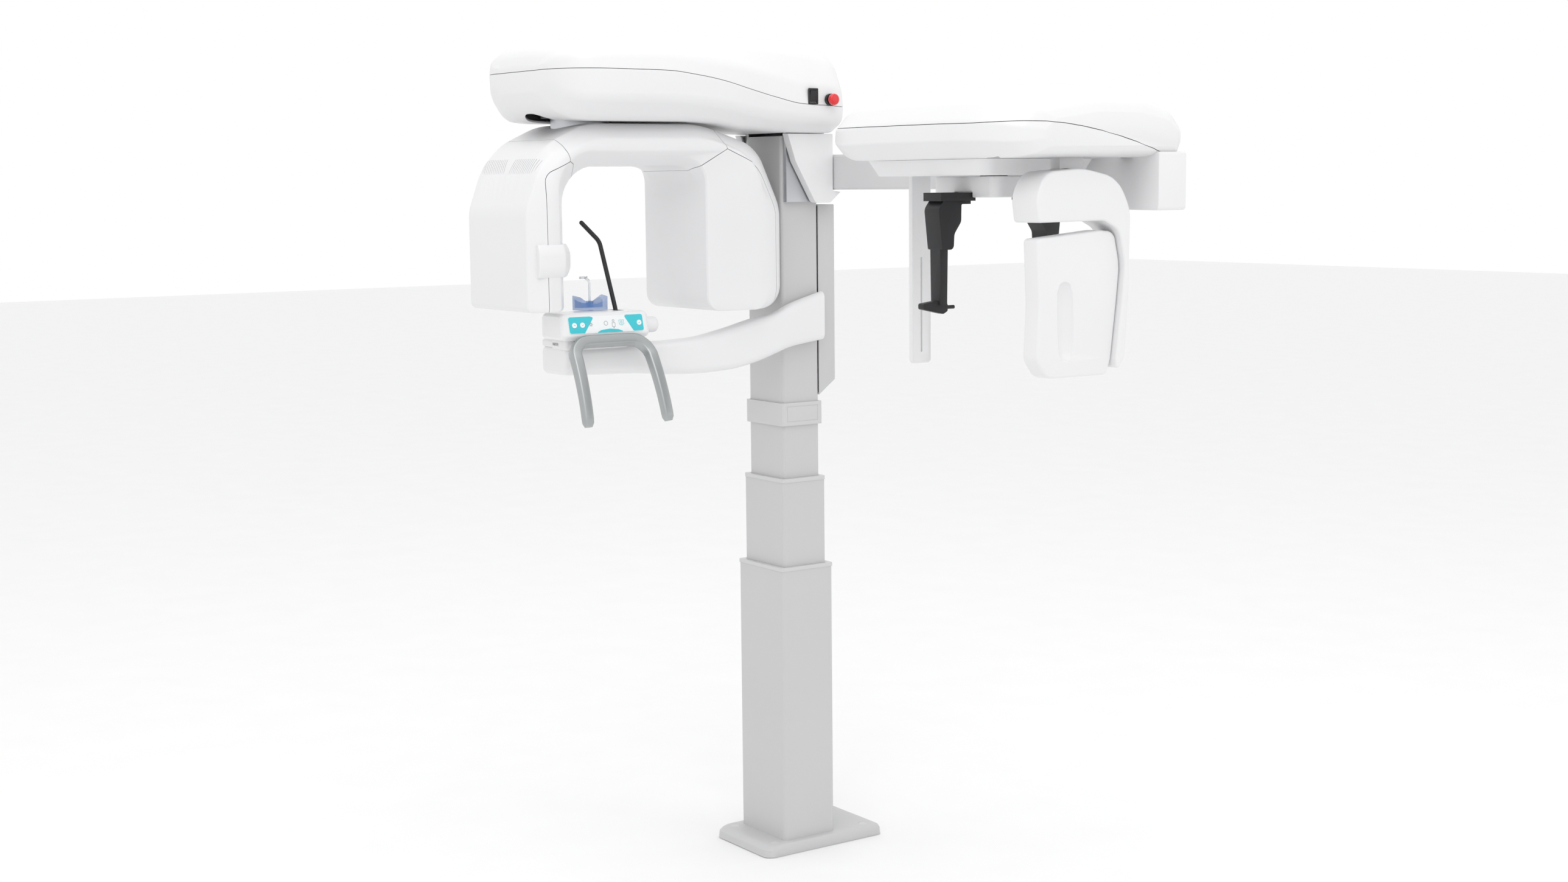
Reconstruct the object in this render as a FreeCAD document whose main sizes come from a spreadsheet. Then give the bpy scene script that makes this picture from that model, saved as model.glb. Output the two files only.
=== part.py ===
"""Panoramic X-ray machine with a telescopic column and a scanning cephalometric arm.

Frame: +Z is up, the origin is where the column's axis meets the floor, -Y is forward (the
overhead arm) and +X is the cephalometric side.  Millimetres.
"""
import FreeCAD, Part
import Sketcher
import math
import os

from FreeCAD import Placement, Rotation, Vector

# name, value in mm (or degrees), what it is
DIMENSIONS = [
    ("base_width", 254.0, "floor plate, side to side at the floor"),
    ("base_front", 153.0, "floor plate, column axis to front edge"),
    ("base_rear", 220.0, "floor plate, column axis to rear edge"),
    ("base_thick", 30.0, "floor plate thickness"),
    ("base_draft", 7.0, "slope of the plate's side and rear edges"),
    ("base_front_draft", 19.0, "slope of the plate's front edge"),
    ("anchor_x", 190.0, "anchor bolts, side to side"),
    ("anchor_y", 290.0, "anchor bolts, front to rear"),
    ("anchor_mid", 36.0, "anchor pattern centre, behind the column axis"),
    ("anchor_bore", 14.0, "anchor bolt hole diameter"),
    ("cap_bore", 24.0, "cap counterbore diameter"),
    ("cap_deep", 6.0, "cap counterbore depth"),
    ("tube_wall", 4.0, "wall of the three column tubes"),
    ("lower_w", 204.0, "lower tube, side to side"),
    ("lower_d", 163.0, "lower tube, front to rear"),
    ("lower_top", 752.0, "lower tube, top above the floor"),
    ("middle_w", 181.0, "middle tube, side to side"),
    ("middle_d", 135.0, "middle tube, front to rear"),
    ("middle_top", 984.0, "middle tube, top at the stored height"),
    ("middle_long", 560.0, "middle tube length"),
    ("upper_w", 157.0, "upper tube, side to side"),
    ("upper_d", 115.0, "upper tube, front to rear"),
    ("upper_top", 1880.0, "upper tube, top at the stored height"),
    ("upper_bottom", 590.0, "upper tube, bottom at the stored height"),
    ("guide_gap", 0.5, "gap between a guide collar and the tube that slides in it"),
    ("rim_high", 10.0, "visible height of a guide collar"),
    ("skirt_long", 60.0, "guide collar skirt inside the tube"),
    ("screw_dia", 20.0, "lift screw diameter"),
    ("hollow_dia", 40.0, "hollow lift screw, outside diameter"),
    ("hollow_bore", 25.0, "hollow lift screw bore"),
    ("collar_low", 1132.0, "column collar, bottom"),
    ("collar_high", 60.0, "column collar height"),
    ("collar_proud", 6.0, "column collar thickness over the tube"),
    ("rear_cover_d", 52.0, "rear column cover depth"),
    ("rear_cover_top", 1704.0, "rear column cover, top"),
    ("rear_cover_low", 1207.0, "rear column cover, bottom"),
    ("cover_wall", 4.0, "wall of the moulded covers"),
    ("arm_reach", 765.0, "overhead arm, column axis to nose"),
    ("arm_half", 235.0, "overhead arm, half its widest width"),
    ("arm_low", 1912.0, "overhead arm, underside"),
    ("arm_high", 214.0, "overhead arm height, underside to crown"),
    ("spin_y", 600.0, "column axis to the rotating arm's axis"),
    ("carm_gap", 5.0, "gap between overhead arm and rotating arm"),
    ("carm_half", 165.0, "rotating arm, half its width"),
    ("tube_out", 233.0, "rotation axis to the tube housing's outer face"),
    ("tube_in", 115.0, "rotation axis to the tube housing's inner face"),
    ("tube_low", 1462.0, "tube housing, underside"),
    ("sensor_in", 270.0, "rotation axis to the sensor housing's inner face"),
    ("sensor_out", 530.0, "rotation axis to the sensor housing's rear face"),
    ("sensor_low", 1445.0, "sensor housing, underside"),
    ("arch_high", 101.0, "thickness of the arch over the patient"),
    ("ring_bore", 152.0, "rotation bearing bore"),
    ("fit_gap", 0.05, "running clearance on a bearing radius"),
    ("panel_mid", 610.0, "column axis to the middle of the control panel"),
    ("panel_long", 244.0, "control panel, side to side"),
    ("panel_low", 1389.0, "control panel, underside"),
    ("panel_high", 66.0, "control panel height"),
    ("button_dia", 13.0, "panel button diameter"),
    ("button_gap", 0.4, "gap round a panel button"),
    ("ceph_mid_x", 975.0, "column axis to the head holder's axis"),
    ("ceph_mid_y", 105.0, "column axis to the head holder's axis, forward"),
    ("ceph_left", 628.0, "cephalometric cover, end nearest the column"),
    ("ceph_right", 1316.0, "cephalometric cover, far end"),
    ("ceph_low", 1808.0, "cephalometric cover, underside"),
    ("ceph_high", 158.0, "cephalometric cover height, underside to crown"),
    ("beam_front", 80.0, "column axis to the beam's front face"),
    ("beam_deep", 60.0, "beam, front to rear"),
    ("beam_low", 1742.0, "beam, underside"),
    ("beam_high", 90.0, "beam height"),
    ("ear_half", 141.0, "head holder axis to the middle of an ear rod arm"),
    ("turn_gap", 1.5, "gap between pod and turning head holder"),
]


class Size:
    """A length that carries both its value and the spreadsheet formula behind it."""

    def __init__(self, text, value):
        self.text = text
        self.value = float(value)

    def join(self, sign, other, flip=False):
        """Combine two lengths, or a length and a number, with one arithmetic sign."""
        other = other if isinstance(other, Size) else Size(str(other), other)
        left, right = (other, self) if flip else (self, other)
        values = {"+": left.value + right.value, "-": left.value - right.value,
                  "*": left.value * right.value,
                  "/": left.value / right.value if right.value else 0.0}
        return Size(f"({left.text} {sign} {right.text})", values[sign])

    def __add__(self, other):
        return self.join("+", other)

    def __sub__(self, other):
        return self.join("-", other)

    def __mul__(self, other):
        return self.join("*", other)

    def __truediv__(self, other):
        return self.join("/", other)

    def __radd__(self, other):
        return self.join("+", other, True)

    def __rsub__(self, other):
        return self.join("-", other, True)

    def __rmul__(self, other):
        return self.join("*", other, True)

    def __neg__(self):
        return Size(f"(-1 * {self.text})", -self.value)

    def __float__(self):
        return self.value


class Dimensions:
    """The driving spreadsheet, read by alias as attributes."""

    def __init__(self, document):
        self.sheet = document.addObject("Spreadsheet::Sheet", "dims")
        for row, (alias, value, note) in enumerate(DIMENSIONS, start=1):
            self.sheet.set(f"A{row}", note)
            self.sheet.set(f"B{row}", str(value))
            self.sheet.setAlias(f"B{row}", alias)
        document.recompute()

    def __getattr__(self, alias):
        return Size(f"dims.{alias}", self.sheet.get(alias))


SLOT_RUN = 60.0
ROCKER_PLACE = (-30.0, 1977.0)
ESTOP_PLACE = (21.0, 1969.0)
STRUT_X = 1216.0
KNOB_X = 76.0
KNOB_Z = 1416.0
HEAD_REST_Y = -546.0
CHIN_X = 34.0
CHIN_Y = -600.0
BUTTON_PLACES = {"button_up": -88.0, "button_down": -66.0, "button_confirm": 92.0}

doc = FreeCAD.newDocument("panoramic_xray_machine")
d = Dimensions(doc)
nodes = []


def keep(thing, label):
    """Name a finished sub-part and add it to the list that is written out."""
    thing.Label = label
    nodes.append(thing)
    return thing


def bind(thing, prop, amount):
    """Tie a property to a spreadsheet formula, or set it where it is a plain number."""
    if isinstance(amount, Size):
        thing.setExpression(prop, amount.text)
    else:
        setattr(thing, prop, amount)


# ---------------------------------------------------------------- solids of the Part workbench
def box(x0, x1, y0, y1, z0, z1):
    """A Part::Box between two corners; each corner value is a Size or a number."""
    thing = doc.addObject("Part::Box", "Box")
    for prop, low, high in (("Length", x0, x1), ("Width", y0, y1), ("Height", z0, z1)):
        bind(thing, prop, high - low)
    for axis, low in (("x", x0), ("y", y0), ("z", z0)):
        if isinstance(low, Size):
            thing.setExpression(f"Placement.Base.{axis}", low.text)
        else:
            setattr(thing.Placement.Base, axis, low)
    return thing


TURNS = {"z": Rotation(), "x": Rotation(Vector(0, 1, 0), 90), "y": Rotation(Vector(1, 0, 0), -90)}


def rod(radius, length, place, along="z"):
    """A Part::Cylinder from a point, running along +X, +Y or +Z."""
    thing = doc.addObject("Part::Cylinder", "Rod")
    bind(thing, "Radius", radius)
    bind(thing, "Height", length)
    thing.Placement = Placement(Vector(*[float(value) for value in place]), TURNS[along])
    for axis, value in zip("xyz", place):
        if isinstance(value, Size):
            thing.setExpression(f"Placement.Base.{axis}", value.text)
    return thing


def fuse(*things):
    """Join several solids."""
    thing = doc.addObject("Part::MultiFuse", "Fuse")
    thing.Shapes = list(things)
    thing.Refine = True
    return thing


def cut(base, *tools):
    """Take one or more solids away from a solid."""
    thing = doc.addObject("Part::Cut", "Cut")
    thing.Base = base
    thing.Tool = tools[0] if len(tools) == 1 else fuse(*tools)
    return thing


def common(*things):
    """What several solids share."""
    thing = doc.addObject("Part::MultiCommon", "Common")
    thing.Shapes = list(things)
    return thing


def rounded(base, radius, chosen, kind="Part::Fillet"):
    """Round or bevel the edges that a test on the edge chooses."""
    doc.recompute()
    picked = [(index, float(radius), float(radius))
              for index, edge in enumerate(base.Shape.Edges, start=1) if chosen(edge)]
    thing = doc.addObject(kind, "Rounded")
    thing.Base = base
    thing.Edges = picked
    return thing


def runs_along(axis):
    """An edge test: straight and parallel to X, Y or Z."""
    def test(edge):
        if len(edge.Vertexes) != 2 or not isinstance(edge.Curve, Part.Line):
            return False
        way = edge.Vertexes[1].Point - edge.Vertexes[0].Point
        return abs(getattr(way.normalize(), axis)) > 0.999
    return test


def at_level(axis, level, slack=0.01):
    """An edge test: every vertex at one value of X, Y or Z."""
    return lambda edge: all(abs(getattr(v.Point, axis) - float(level)) < slack for v in edge.Vertexes)


def soft_wire(points, radii):
    """A closed outline through corner points in 3-D, with an arc at each corner that has a radius."""
    count = len(points)
    edges = []
    ends = []
    for index, point in enumerate(points):
        before = (points[index - 1] - point).normalize()
        after = (points[(index + 1) % count] - point).normalize()
        radius = radii[index]
        if radius <= 0:
            ends.append((point, point, None))
            continue
        half = before.getAngle(after) / 2
        reach = radius / math.tan(half)
        middle = point + (before + after).normalize() * (radius / math.sin(half) - radius)
        ends.append((point + before * reach, point + after * reach, middle))
    for index, (start, stop, middle) in enumerate(ends):
        if middle is not None:
            edges.append(Part.Arc(start, middle, stop).toShape())
        following = ends[(index + 1) % count][0]
        if stop.distanceToPoint(following) > 1e-6:
            edges.append(Part.LineSegment(stop, following).toShape())
    return Part.Wire(edges)


PLANES = {"XY": lambda u, v, w: Vector(u, v, w), "XZ": lambda u, v, w: Vector(u, w, v),
          "YZ": lambda u, v, w: Vector(w, u, v)}
NORMALS = {"XY": Vector(0, 0, 1), "XZ": Vector(0, 1, 0), "YZ": Vector(1, 0, 0)}


def outline(plane, level, corners):
    """A closed outline on a plane; a corner is (u, v) or (u, v, radius)."""
    points = [PLANES[plane](float(c[0]), float(c[1]), float(level)) for c in corners]
    radii = [float(c[2]) if len(c) > 2 else 0.0 for c in corners]
    return soft_wire(points, radii)


def slab(plane, low, high, corners):
    """A solid with one outline, between two levels across its plane."""
    face = Part.Face(outline(plane, low, corners))
    return face.extrude(NORMALS[plane] * (float(high) - float(low)))


def loft(plane, sections, ruled=True):
    """A solid through several outlines, each (level, corners)."""
    return Part.makeLoft([outline(plane, level, corners) for level, corners in sections], True, ruled)


def feature(shape):
    """A Part::Feature that holds a shape made from the sheet's sizes."""
    thing = doc.addObject("Part::Feature", "Shape")
    thing.Shape = shape
    return thing


# ---------------------------------------------------------------- PartDesign helpers
def new_body(label):
    """A PartDesign body whose label names the sub-part."""
    return keep(doc.addObject("PartDesign::Body", "Body"), label)


def sketch_on(body, role, lift=0.0):
    """A sketch on one of the body's own origin planes, lifted along the plane's normal."""
    sketch = body.newObject("Sketcher::SketchObject", "Sketch")
    plane = [item for item in body.Origin.OriginFeatures if item.Role == role][0]
    sketch.AttachmentSupport = [(plane, "")]
    sketch.MapMode = "FlatFace"
    if isinstance(lift, Size):
        sketch.setExpression("AttachmentOffset.Base.z", lift.text)
    else:
        sketch.AttachmentOffset = Placement(Vector(0, 0, lift), Rotation())
    return sketch


def rectangle(sketch, u0, u1, v0, v1):
    """A rectangle whose four sides are tied to the spreadsheet."""
    corners = [(float(u0), float(v0)), (float(u1), float(v0)), (float(u1), float(v1)),
               (float(u0), float(v1))]
    first = sketch.GeometryCount
    for index, (u, v) in enumerate(corners):
        following = corners[(index + 1) % 4]
        sketch.addGeometry(Part.LineSegment(Vector(u, v, 0), Vector(*following, 0)), False)
    for index in range(4):
        sketch.addConstraint(Sketcher.Constraint("Coincident", first + index, 2,
                                                 first + (index + 1) % 4, 1))
    for index, way in enumerate(("Horizontal", "Vertical", "Horizontal", "Vertical")):
        sketch.addConstraint(Sketcher.Constraint(way, first + index))
    for way, line, amount in (("DistanceX", 0, u0), ("DistanceY", 0, v0), ("DistanceX", 2, u1),
                              ("DistanceY", 2, v1)):
        number = sketch.addConstraint(Sketcher.Constraint(way, -1, 1, first + line, 1, float(amount)))
        if isinstance(amount, Size):
            sketch.setExpression(f"Constraints[{number}]", amount.text)


def circle(sketch, u, v, diameter):
    """A circle whose place and diameter are tied to the spreadsheet."""
    index = sketch.addGeometry(Part.Circle(Vector(float(u), float(v), 0), Vector(0, 0, 1),
                                           float(diameter) / 2), False)
    for way, amount in (("DistanceX", u), ("DistanceY", v)):
        number = sketch.addConstraint(Sketcher.Constraint(way, -1, 1, index, 3, float(amount)))
        if isinstance(amount, Size):
            sketch.setExpression(f"Constraints[{number}]", amount.text)
    number = sketch.addConstraint(Sketcher.Constraint("Diameter", index, float(diameter)))
    if isinstance(diameter, Size):
        sketch.setExpression(f"Constraints[{number}]", diameter.text)


def polygon(sketch, corners):
    """A closed outline, with arcs at the corners that have a radius, worked out from the sheet's sizes."""
    wire = outline("XY", 0.0, corners)
    for edge in wire.Edges:
        start, stop = edge.Vertexes[0].Point, edge.Vertexes[-1].Point
        if isinstance(edge.Curve, Part.Circle):
            middle = edge.valueAt((edge.FirstParameter + edge.LastParameter) / 2)
            sketch.addGeometry(Part.Arc(start, middle, stop), False)
        else:
            sketch.addGeometry(Part.LineSegment(start, stop), False)


def pad(body, sketch, length, middle=False, reverse=False):
    """Pad a sketch by a length."""
    thing = body.newObject("PartDesign::Pad", "Pad")
    thing.Profile = sketch
    bind(thing, "Length", length)
    thing.Midplane = middle
    thing.Reversed = reverse
    doc.recompute()
    return thing


def pocket(body, sketch, length, reverse=False, middle=False):
    """Pocket a sketch by a length, and make sure that it took something away."""
    before = body.Shape.Volume
    thing = body.newObject("PartDesign::Pocket", "Pocket")
    thing.Profile = sketch
    bind(thing, "Length", length)
    thing.Reversed = reverse
    thing.Midplane = middle
    doc.recompute()
    if body.Shape.Volume > before - 1e-3:
        raise ValueError(f"a pocket in {body.Label} cut nothing")
    return thing


def dress(body, kind, size, chosen):
    """Add a fillet or chamfer to the body's edges that a test chooses."""
    tip = body.Tip
    names = [f"Edge{index}" for index, edge in enumerate(tip.Shape.Edges, start=1) if chosen(edge)]
    thing = body.newObject(f"PartDesign::{kind}", kind)
    thing.Base = (tip, names)
    bind(thing, "Radius" if kind == "Fillet" else "Size", size)
    doc.recompute()
    return thing


def square_tube(label, wide, deep, low, long, corner=8.0):
    """One telescopic tube: a padded rectangle, rounded, with its bore pocketed through."""
    body = new_body(label)
    sketch = sketch_on(body, "XY_Plane", low)
    rectangle(sketch, -(wide / 2), wide / 2, -(deep / 2), deep / 2)
    pad(body, sketch, long)
    dress(body, "Fillet", corner, runs_along("z"))
    bore = sketch_on(body, "XY_Plane", low)
    inner_w = wide / 2 - d.tube_wall
    inner_d = deep / 2 - d.tube_wall
    rectangle(bore, -inner_w, inner_w, -inner_d, inner_d)
    pocket(body, bore, long, reverse=True)
    return body


# ---------------------------------------------------------------- base and column
def make_base():
    """Floor plate with four anchor holes, their caps, and the cable slot behind the column."""
    half = d.base_width / 2
    body = new_body("floor_base_plate")
    lower = sketch_on(body, "XY_Plane")
    polygon(lower, [(-half, -d.base_front, 28), (half, -d.base_front, 28), (half, d.base_rear, 8),
                    (-half, d.base_rear, 8)])
    upper = sketch_on(body, "XY_Plane", d.base_thick)
    top_half = half - d.base_draft
    front = d.base_front - d.base_front_draft
    rear = d.base_rear - d.base_draft
    polygon(upper, [(-top_half, -front, 22), (top_half, -front, 22), (top_half, rear, 6),
                    (-top_half, rear, 6)])
    plate = body.newObject("PartDesign::AdditiveLoft", "Plate")
    plate.Profile = lower
    plate.Sections = [upper]
    doc.recompute()
    places = anchor_places()
    holes = sketch_on(body, "XY_Plane", d.base_thick)
    for x, y in places:
        circle(holes, x, y, d.anchor_bore)
    pocket(body, holes, d.base_thick)
    seats = sketch_on(body, "XY_Plane", d.base_thick)
    for x, y in places:
        circle(seats, x, y, d.cap_bore)
    pocket(body, seats, d.cap_deep)
    slot = sketch_on(body, "XY_Plane", d.base_thick)
    behind = d.lower_d / 2
    rectangle(slot, -40, 40, behind + 14, behind + 26)
    pocket(body, slot, d.base_thick)
    caps = [rod(d.cap_bore / 2 - 0.15, d.cap_deep - 0.5, (x, y, d.base_thick - d.cap_deep + 0.3)) for x,
            y in places]
    keep(fuse(*caps), "base_bolt_caps")


def anchor_places():
    """Centres of the four anchor bolts."""
    return [(d.anchor_x / 2 * side, d.anchor_mid + d.anchor_y / 2 * end) for side in (-1,
        1) for end in (-1, 1)]


def guide_collar(label, wide, deep, inner_w, inner_d, top):
    """A moulded collar that caps a tube and guides the next one, with a skirt down inside."""
    gap = d.guide_gap
    rim = box(-(wide / 2) - 1.5, wide / 2 + 1.5, -(deep / 2) - 1.5, deep / 2 + 1.5, top,
              top + d.rim_high)
    skirt_w = wide / 2 - d.tube_wall - 0.1
    skirt_d = deep / 2 - d.tube_wall - 0.1
    skirt = box(-skirt_w, skirt_w, -skirt_d, skirt_d, top - d.skirt_long, top)
    hole_w = inner_w / 2 + gap
    hole_d = inner_d / 2 + gap
    hole = box(-hole_w, hole_w, -hole_d, hole_d, top - d.skirt_long - 1, top + d.rim_high + 1)
    soft = rounded(rim, 9.0, runs_along("z"))
    keep(cut(fuse(soft, skirt), hole), label)


def make_column():
    """Three tubes, two guide collars and the nested lift screws."""
    square_tube("column_lower_tube", d.lower_w, d.lower_d, d.base_thick, d.lower_top - d.base_thick,
                10.0)
    guide_collar("lower_guide_collar", d.lower_w, d.lower_d, d.middle_w, d.middle_d, d.lower_top)
    square_tube("column_middle_tube", d.middle_w, d.middle_d, d.middle_top - d.middle_long,
                d.middle_long)
    guide_collar("middle_guide_collar", d.middle_w, d.middle_d, d.upper_w, d.upper_d, d.middle_top)
    square_tube("column_upper_tube", d.upper_w, d.upper_d, d.upper_bottom, d.upper_top - d.upper_bottom)
    make_lift()
    make_collar()
    make_rear_cover()


def make_lift():
    """Motor at the foot, screw in hollow screw, and the nut plate of the upper tube."""
    floor = d.base_thick
    foot = box(-60, 60, -60, 60, floor, floor + 12)
    can = rod(48, 78, (0, 0, floor + 12))
    cap = rod(30, 14, (0, 0, floor + 90))
    keep(fuse(rounded(foot, 10, runs_along("z")), can, cap), "lift_motor")
    start = floor + 104
    shaft = rod(d.screw_dia / 2, 560, (0, 0, start))
    keep(rounded(shaft, 2, at_level("z", start + 560), "Part::Chamfer"), "lift_screw")
    low = d.middle_top - d.middle_long
    plate = box(-(d.middle_w / 2 - d.tube_wall), d.middle_w / 2 - d.tube_wall,
                -(d.middle_d / 2 - d.tube_wall), d.middle_d / 2 - d.tube_wall, low, low + 14)
    tube = rod(d.hollow_dia / 2, 420, (0, 0, low))
    bore = rod(d.hollow_bore / 2, 430, (0, 0, low - 2))
    keep(cut(fuse(plate, tube), bore), "hollow_lift_screw")
    low = d.upper_bottom
    plate = box(-(d.upper_w / 2 - d.tube_wall), d.upper_w / 2 - d.tube_wall,
                -(d.upper_d / 2 - d.tube_wall), d.upper_d / 2 - d.tube_wall, low, low + 14)
    nut = rod(32, 36, (0, 0, low))
    bore = rod(d.hollow_dia / 2 + 0.4, 60, (0, 0, low - 2))
    keep(cut(fuse(plate, nut), bore), "upper_nut_plate")


def make_collar():
    """The collar round the upper tube, with its blank raised plate."""
    proud = d.collar_proud
    half_w = d.upper_w / 2
    half_d = d.upper_d / 2
    ring = box(-half_w - proud, half_w + proud, -half_d - proud, half_d + proud, d.collar_low,
               d.collar_low + d.collar_high)
    ring = rounded(ring, 5.0, runs_along("z"))
    hole = box(-half_w - 0.2, half_w + 0.2, -half_d - 0.2, half_d + 0.2, d.collar_low - 1,
               d.collar_low + d.collar_high + 1)
    side = half_w + proud
    frame = box(side - 0.8, side + 1, -half_d + 8, half_d - 8, d.collar_low + 10,
                d.collar_low + d.collar_high - 9)
    plate = box(side - 2, side + 2, -half_d + 10, half_d - 10, d.collar_low + 12,
                d.collar_low + d.collar_high - 11)
    keep(cut(ring, hole, cut(frame, plate)), "column_collar")


def make_rear_cover():
    """The cable cover behind the upper tube, open towards the tube."""
    front = d.upper_d / 2 + 0.3
    rear = front + d.rear_cover_d
    low = d.rear_cover_low
    top = d.rear_cover_top
    wall = float(d.cover_wall)
    half = float(d.upper_w / 2) + 1.5
    outer = slab("YZ", -half, half, [(front, low), (rear, low + 39), (rear, top), (front, top)])
    inner = slab("YZ", -half + wall, half - wall, [(front - 1, low + wall + 2),
                                                   (front + 4, low + wall + 2),
                                                   (rear - wall, low + 42), (rear - wall,
                                                       top - wall), (front - 1, top - wall)])
    keep(feature(outer.cut(inner)), "column_rear_cover")


# ---------------------------------------------------------------- carriage and overhead arm
def make_carriage():
    """Welded head of the column, its two side covers and the cephalometric beam."""
    half_w = d.upper_w / 2
    cheek = 14.0
    back = d.beam_front - 10
    cheeks = [box(side_low, side_low + cheek, -50, back, 1712, 1890)
              for side_low in (half_w + 0.3, -half_w - 0.3 - cheek)]
    rear = box(-half_w - cheek, half_w + cheek, back - 10, back, 1712, 1890)
    lid = box(-half_w - cheek - 6, half_w + cheek + 6, -55, back, 1890, 1902)
    pads = [box(x, x + 60, back, d.beam_front, 1745, 1828) for x in (-70, 20)]
    post = box(-75, 75, -45, back - 8, 1902, 1975)
    keep(fuse(*cheeks, rear, lid, *pads, post), "carriage_frame")
    for side, label in ((1, "carriage_side_cover_right"), (-1, "carriage_side_cover_left")):
        keep(feature(side_cover(side)), label)
    make_beam()


def side_cover(side):
    """A triangular cheek cover, open on its inner face; the side is 1 for right, -1 for left."""
    inner, outer, wall = 97.0, 121.0, 3.0
    top = float(d.arm_low) - 27
    rear = float(d.beam_front) - 3
    low = float(d.beam_low) - 33
    profile = [(-64, top), (-40, top - 70, 60), (22, low, 14), (68, low, 8), (rear + 24, low + 27),
               (rear, low + 31), (rear, top)]
    hollow = [(-58, top - wall), (-36, top - 66, 58), (24, low + wall, 12), (66, low + wall, 6),
              (rear + 16, low + 26), (rear - 3, low + 27), (rear - 3, top - wall)]
    shell = slab("YZ", inner, outer, profile).cut(slab("YZ", inner - 1, outer - wall, hollow))
    return shell if side > 0 else shell.mirror(Vector(), Vector(1, 0, 0))


def make_beam():
    """The rectangular beam that carries the cephalometric head."""
    front, low = d.beam_front, d.beam_low
    rear = front + d.beam_deep
    bar = box(-80, d.ceph_right - 30, front, rear, low, low + d.beam_high)
    bar = rounded(bar, 6.0, runs_along("x"))
    bore = box(-90, d.ceph_right - 20, front + 5, rear - 5, low + 5, low + d.beam_high - 5)
    keep(cut(bar, bore), "ceph_beam")


def arm_section(grow, y, half, low, mid_low, mid_high, top, flat):
    """One cross-section of the overhead arm, shrunk all round by a wall."""
    h = half - grow
    return (y, [(-h + 38, low + grow), (h - 38, low + grow), (h, mid_low), (h, mid_high),
                (h * flat, top - grow), (-h * flat, top - grow), (-h, mid_high), (-h, mid_low)])


def overhead_solid(grow):
    """The overhead arm as a solid; grow is how far inside the skin it lies."""
    low = float(d.arm_low)
    top = low + float(d.arm_high)
    wide = float(d.arm_half)
    nose = -float(d.arm_reach)
    g = grow
    rows = [(nose + g, wide - 88, low + 40, low + 75, low + 122, low + 135, 0.90),
            (nose + 26 + g * 0.6, wide - 38, low + 12, low + 60, low + 124, low + 160, 0.84),
            (nose + 90, wide - 4, low, low + 52, low + 124, low + 181, 0.74),
            (nose + 260, wide, low, low + 48, low + 120, low + 203, 0.70),
            (nose + 440, wide - 14, low, low + 44, low + 108, top, 0.70),
            (-190.0, wide - 40, low - 8, low + 26, low + 82, top - 1, 0.72),
            (-100.0, wide - 50, low - 25, low + 2, low + 96, top - 4, 0.78),
            (-10.0, wide - 50, low - 25, low, low + 110, top - 12, 0.80),
            (40.0, wide - 51, low - 25, low, low + 108, top - 32, 0.80),
            (74.0, wide - 74, low - 25, low, low + 104, top - 58, 0.80),
            (96.0 - g, wide - 106, low - 23, low + 4, low + 92, top - 92, 0.84)]
    return loft("XZ", [arm_section(g, *row) for row in rows])


def seam_block(above):
    """Everything above (or below) the seam line between the overhead arm's two covers."""
    low = float(d.arm_low)
    nose = -float(d.arm_reach)
    line = [(nose - 50, low + 120), (nose + 94, low + 119), (nose + 279, low + 119),
            (nose + 444, low + 99), (-148, low + 60), (-50, low + 42), (150, low + 20)]
    far = low + 500 if above else low - 500
    corners = line + [(150, far), (nose - 50, far)]
    return slab("YZ", -400, 400, corners)


def make_overhead():
    """Frame, rails and the two covers of the overhead arm."""
    wall = float(d.cover_wall)
    shell = overhead_solid(0.0).cut(overhead_solid(wall))
    face = float(d.arm_half) - 50
    y, z = ROCKER_PLACE
    window = Part.makeBox(24, 25.8, 35.8, Vector(face - 20, y - 12.9, z - 17.9))
    y, z = ESTOP_PLACE
    bore = Part.makeCylinder(11.4, 24, Vector(face - 20, y, z), Vector(1, 0, 0))
    upper = shell.common(seam_block(True))
    keep(feature(upper.cut(window).cut(bore)), "overhead_top_cover")
    low = float(d.arm_low)
    spin = -float(d.spin_y)
    neck = float(d.ring_bore) / 2 + 2
    slot = slab("XY", low - 40, low + 20, [(-neck, spin - SLOT_RUN - neck, neck - 1),
                                           (neck, spin - SLOT_RUN - neck, neck - 1),
                                           (neck, spin + neck, neck - 1), (-neck, spin + neck,
                                               neck - 1)])
    doorway = slab("XY", low - 60, low + 20, [(-112, -66), (112, -66), (112, 88), (-112, 88)])
    keep(feature(shell.common(seam_block(False)).cut(slot).cut(doorway)), "overhead_bottom_cover")
    rails = [box(side, side + 30, -d.arm_reach + 40, 62, 1975, 2025) for side in (75, -105)]
    ties = [box(-75, 75, y, y + 26, 1975, 2025) for y in (-d.arm_reach + 40, -440, -60)]
    keep(fuse(*rails, *ties), "overhead_frame")
    ways = [box(side - 7, side + 7, -d.spin_y - 142, -d.spin_y + 104, 1962, 1975) for side in (90, -90)]
    keep(fuse(*ways), "stage_rails")


def make_stage():
    """The sliding stage under the frame, the rotation bearing and its ring motor."""
    spin = -d.spin_y
    plate = box(-118, 118, spin - 80, spin + 80, 1944, 1954)
    blocks = []
    for side in (90, -90):
        for end in (-78, 44):
            lump = box(side - 19, side + 19, spin + end, spin + end + 34, 1954, 1972)
            groove = box(side - 7.4, side + 7.4, spin + end - 1, spin + end + 35, 1961.5, 1973)
            blocks.append(cut(lump, groove))
    hole = rod(d.ring_bore / 2 - 14, 20, (0, spin, 1940))
    keep(cut(fuse(plate, *blocks), hole), "stage_plate")
    ring = rod(d.ring_bore / 2 + 18, 21, (0, spin, 1923))
    bore = rod(d.ring_bore / 2, 30, (0, spin, 1920))
    keep(cut(ring, bore), "rotation_bearing_ring")
    stator = rod(d.ring_bore / 2 - 6, 17, (0, spin, 1954))
    window = rod(d.ring_bore / 2 - 16.5, 30, (0, spin, 1950))
    keep(cut(stator, window), "rotation_motor")


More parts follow.
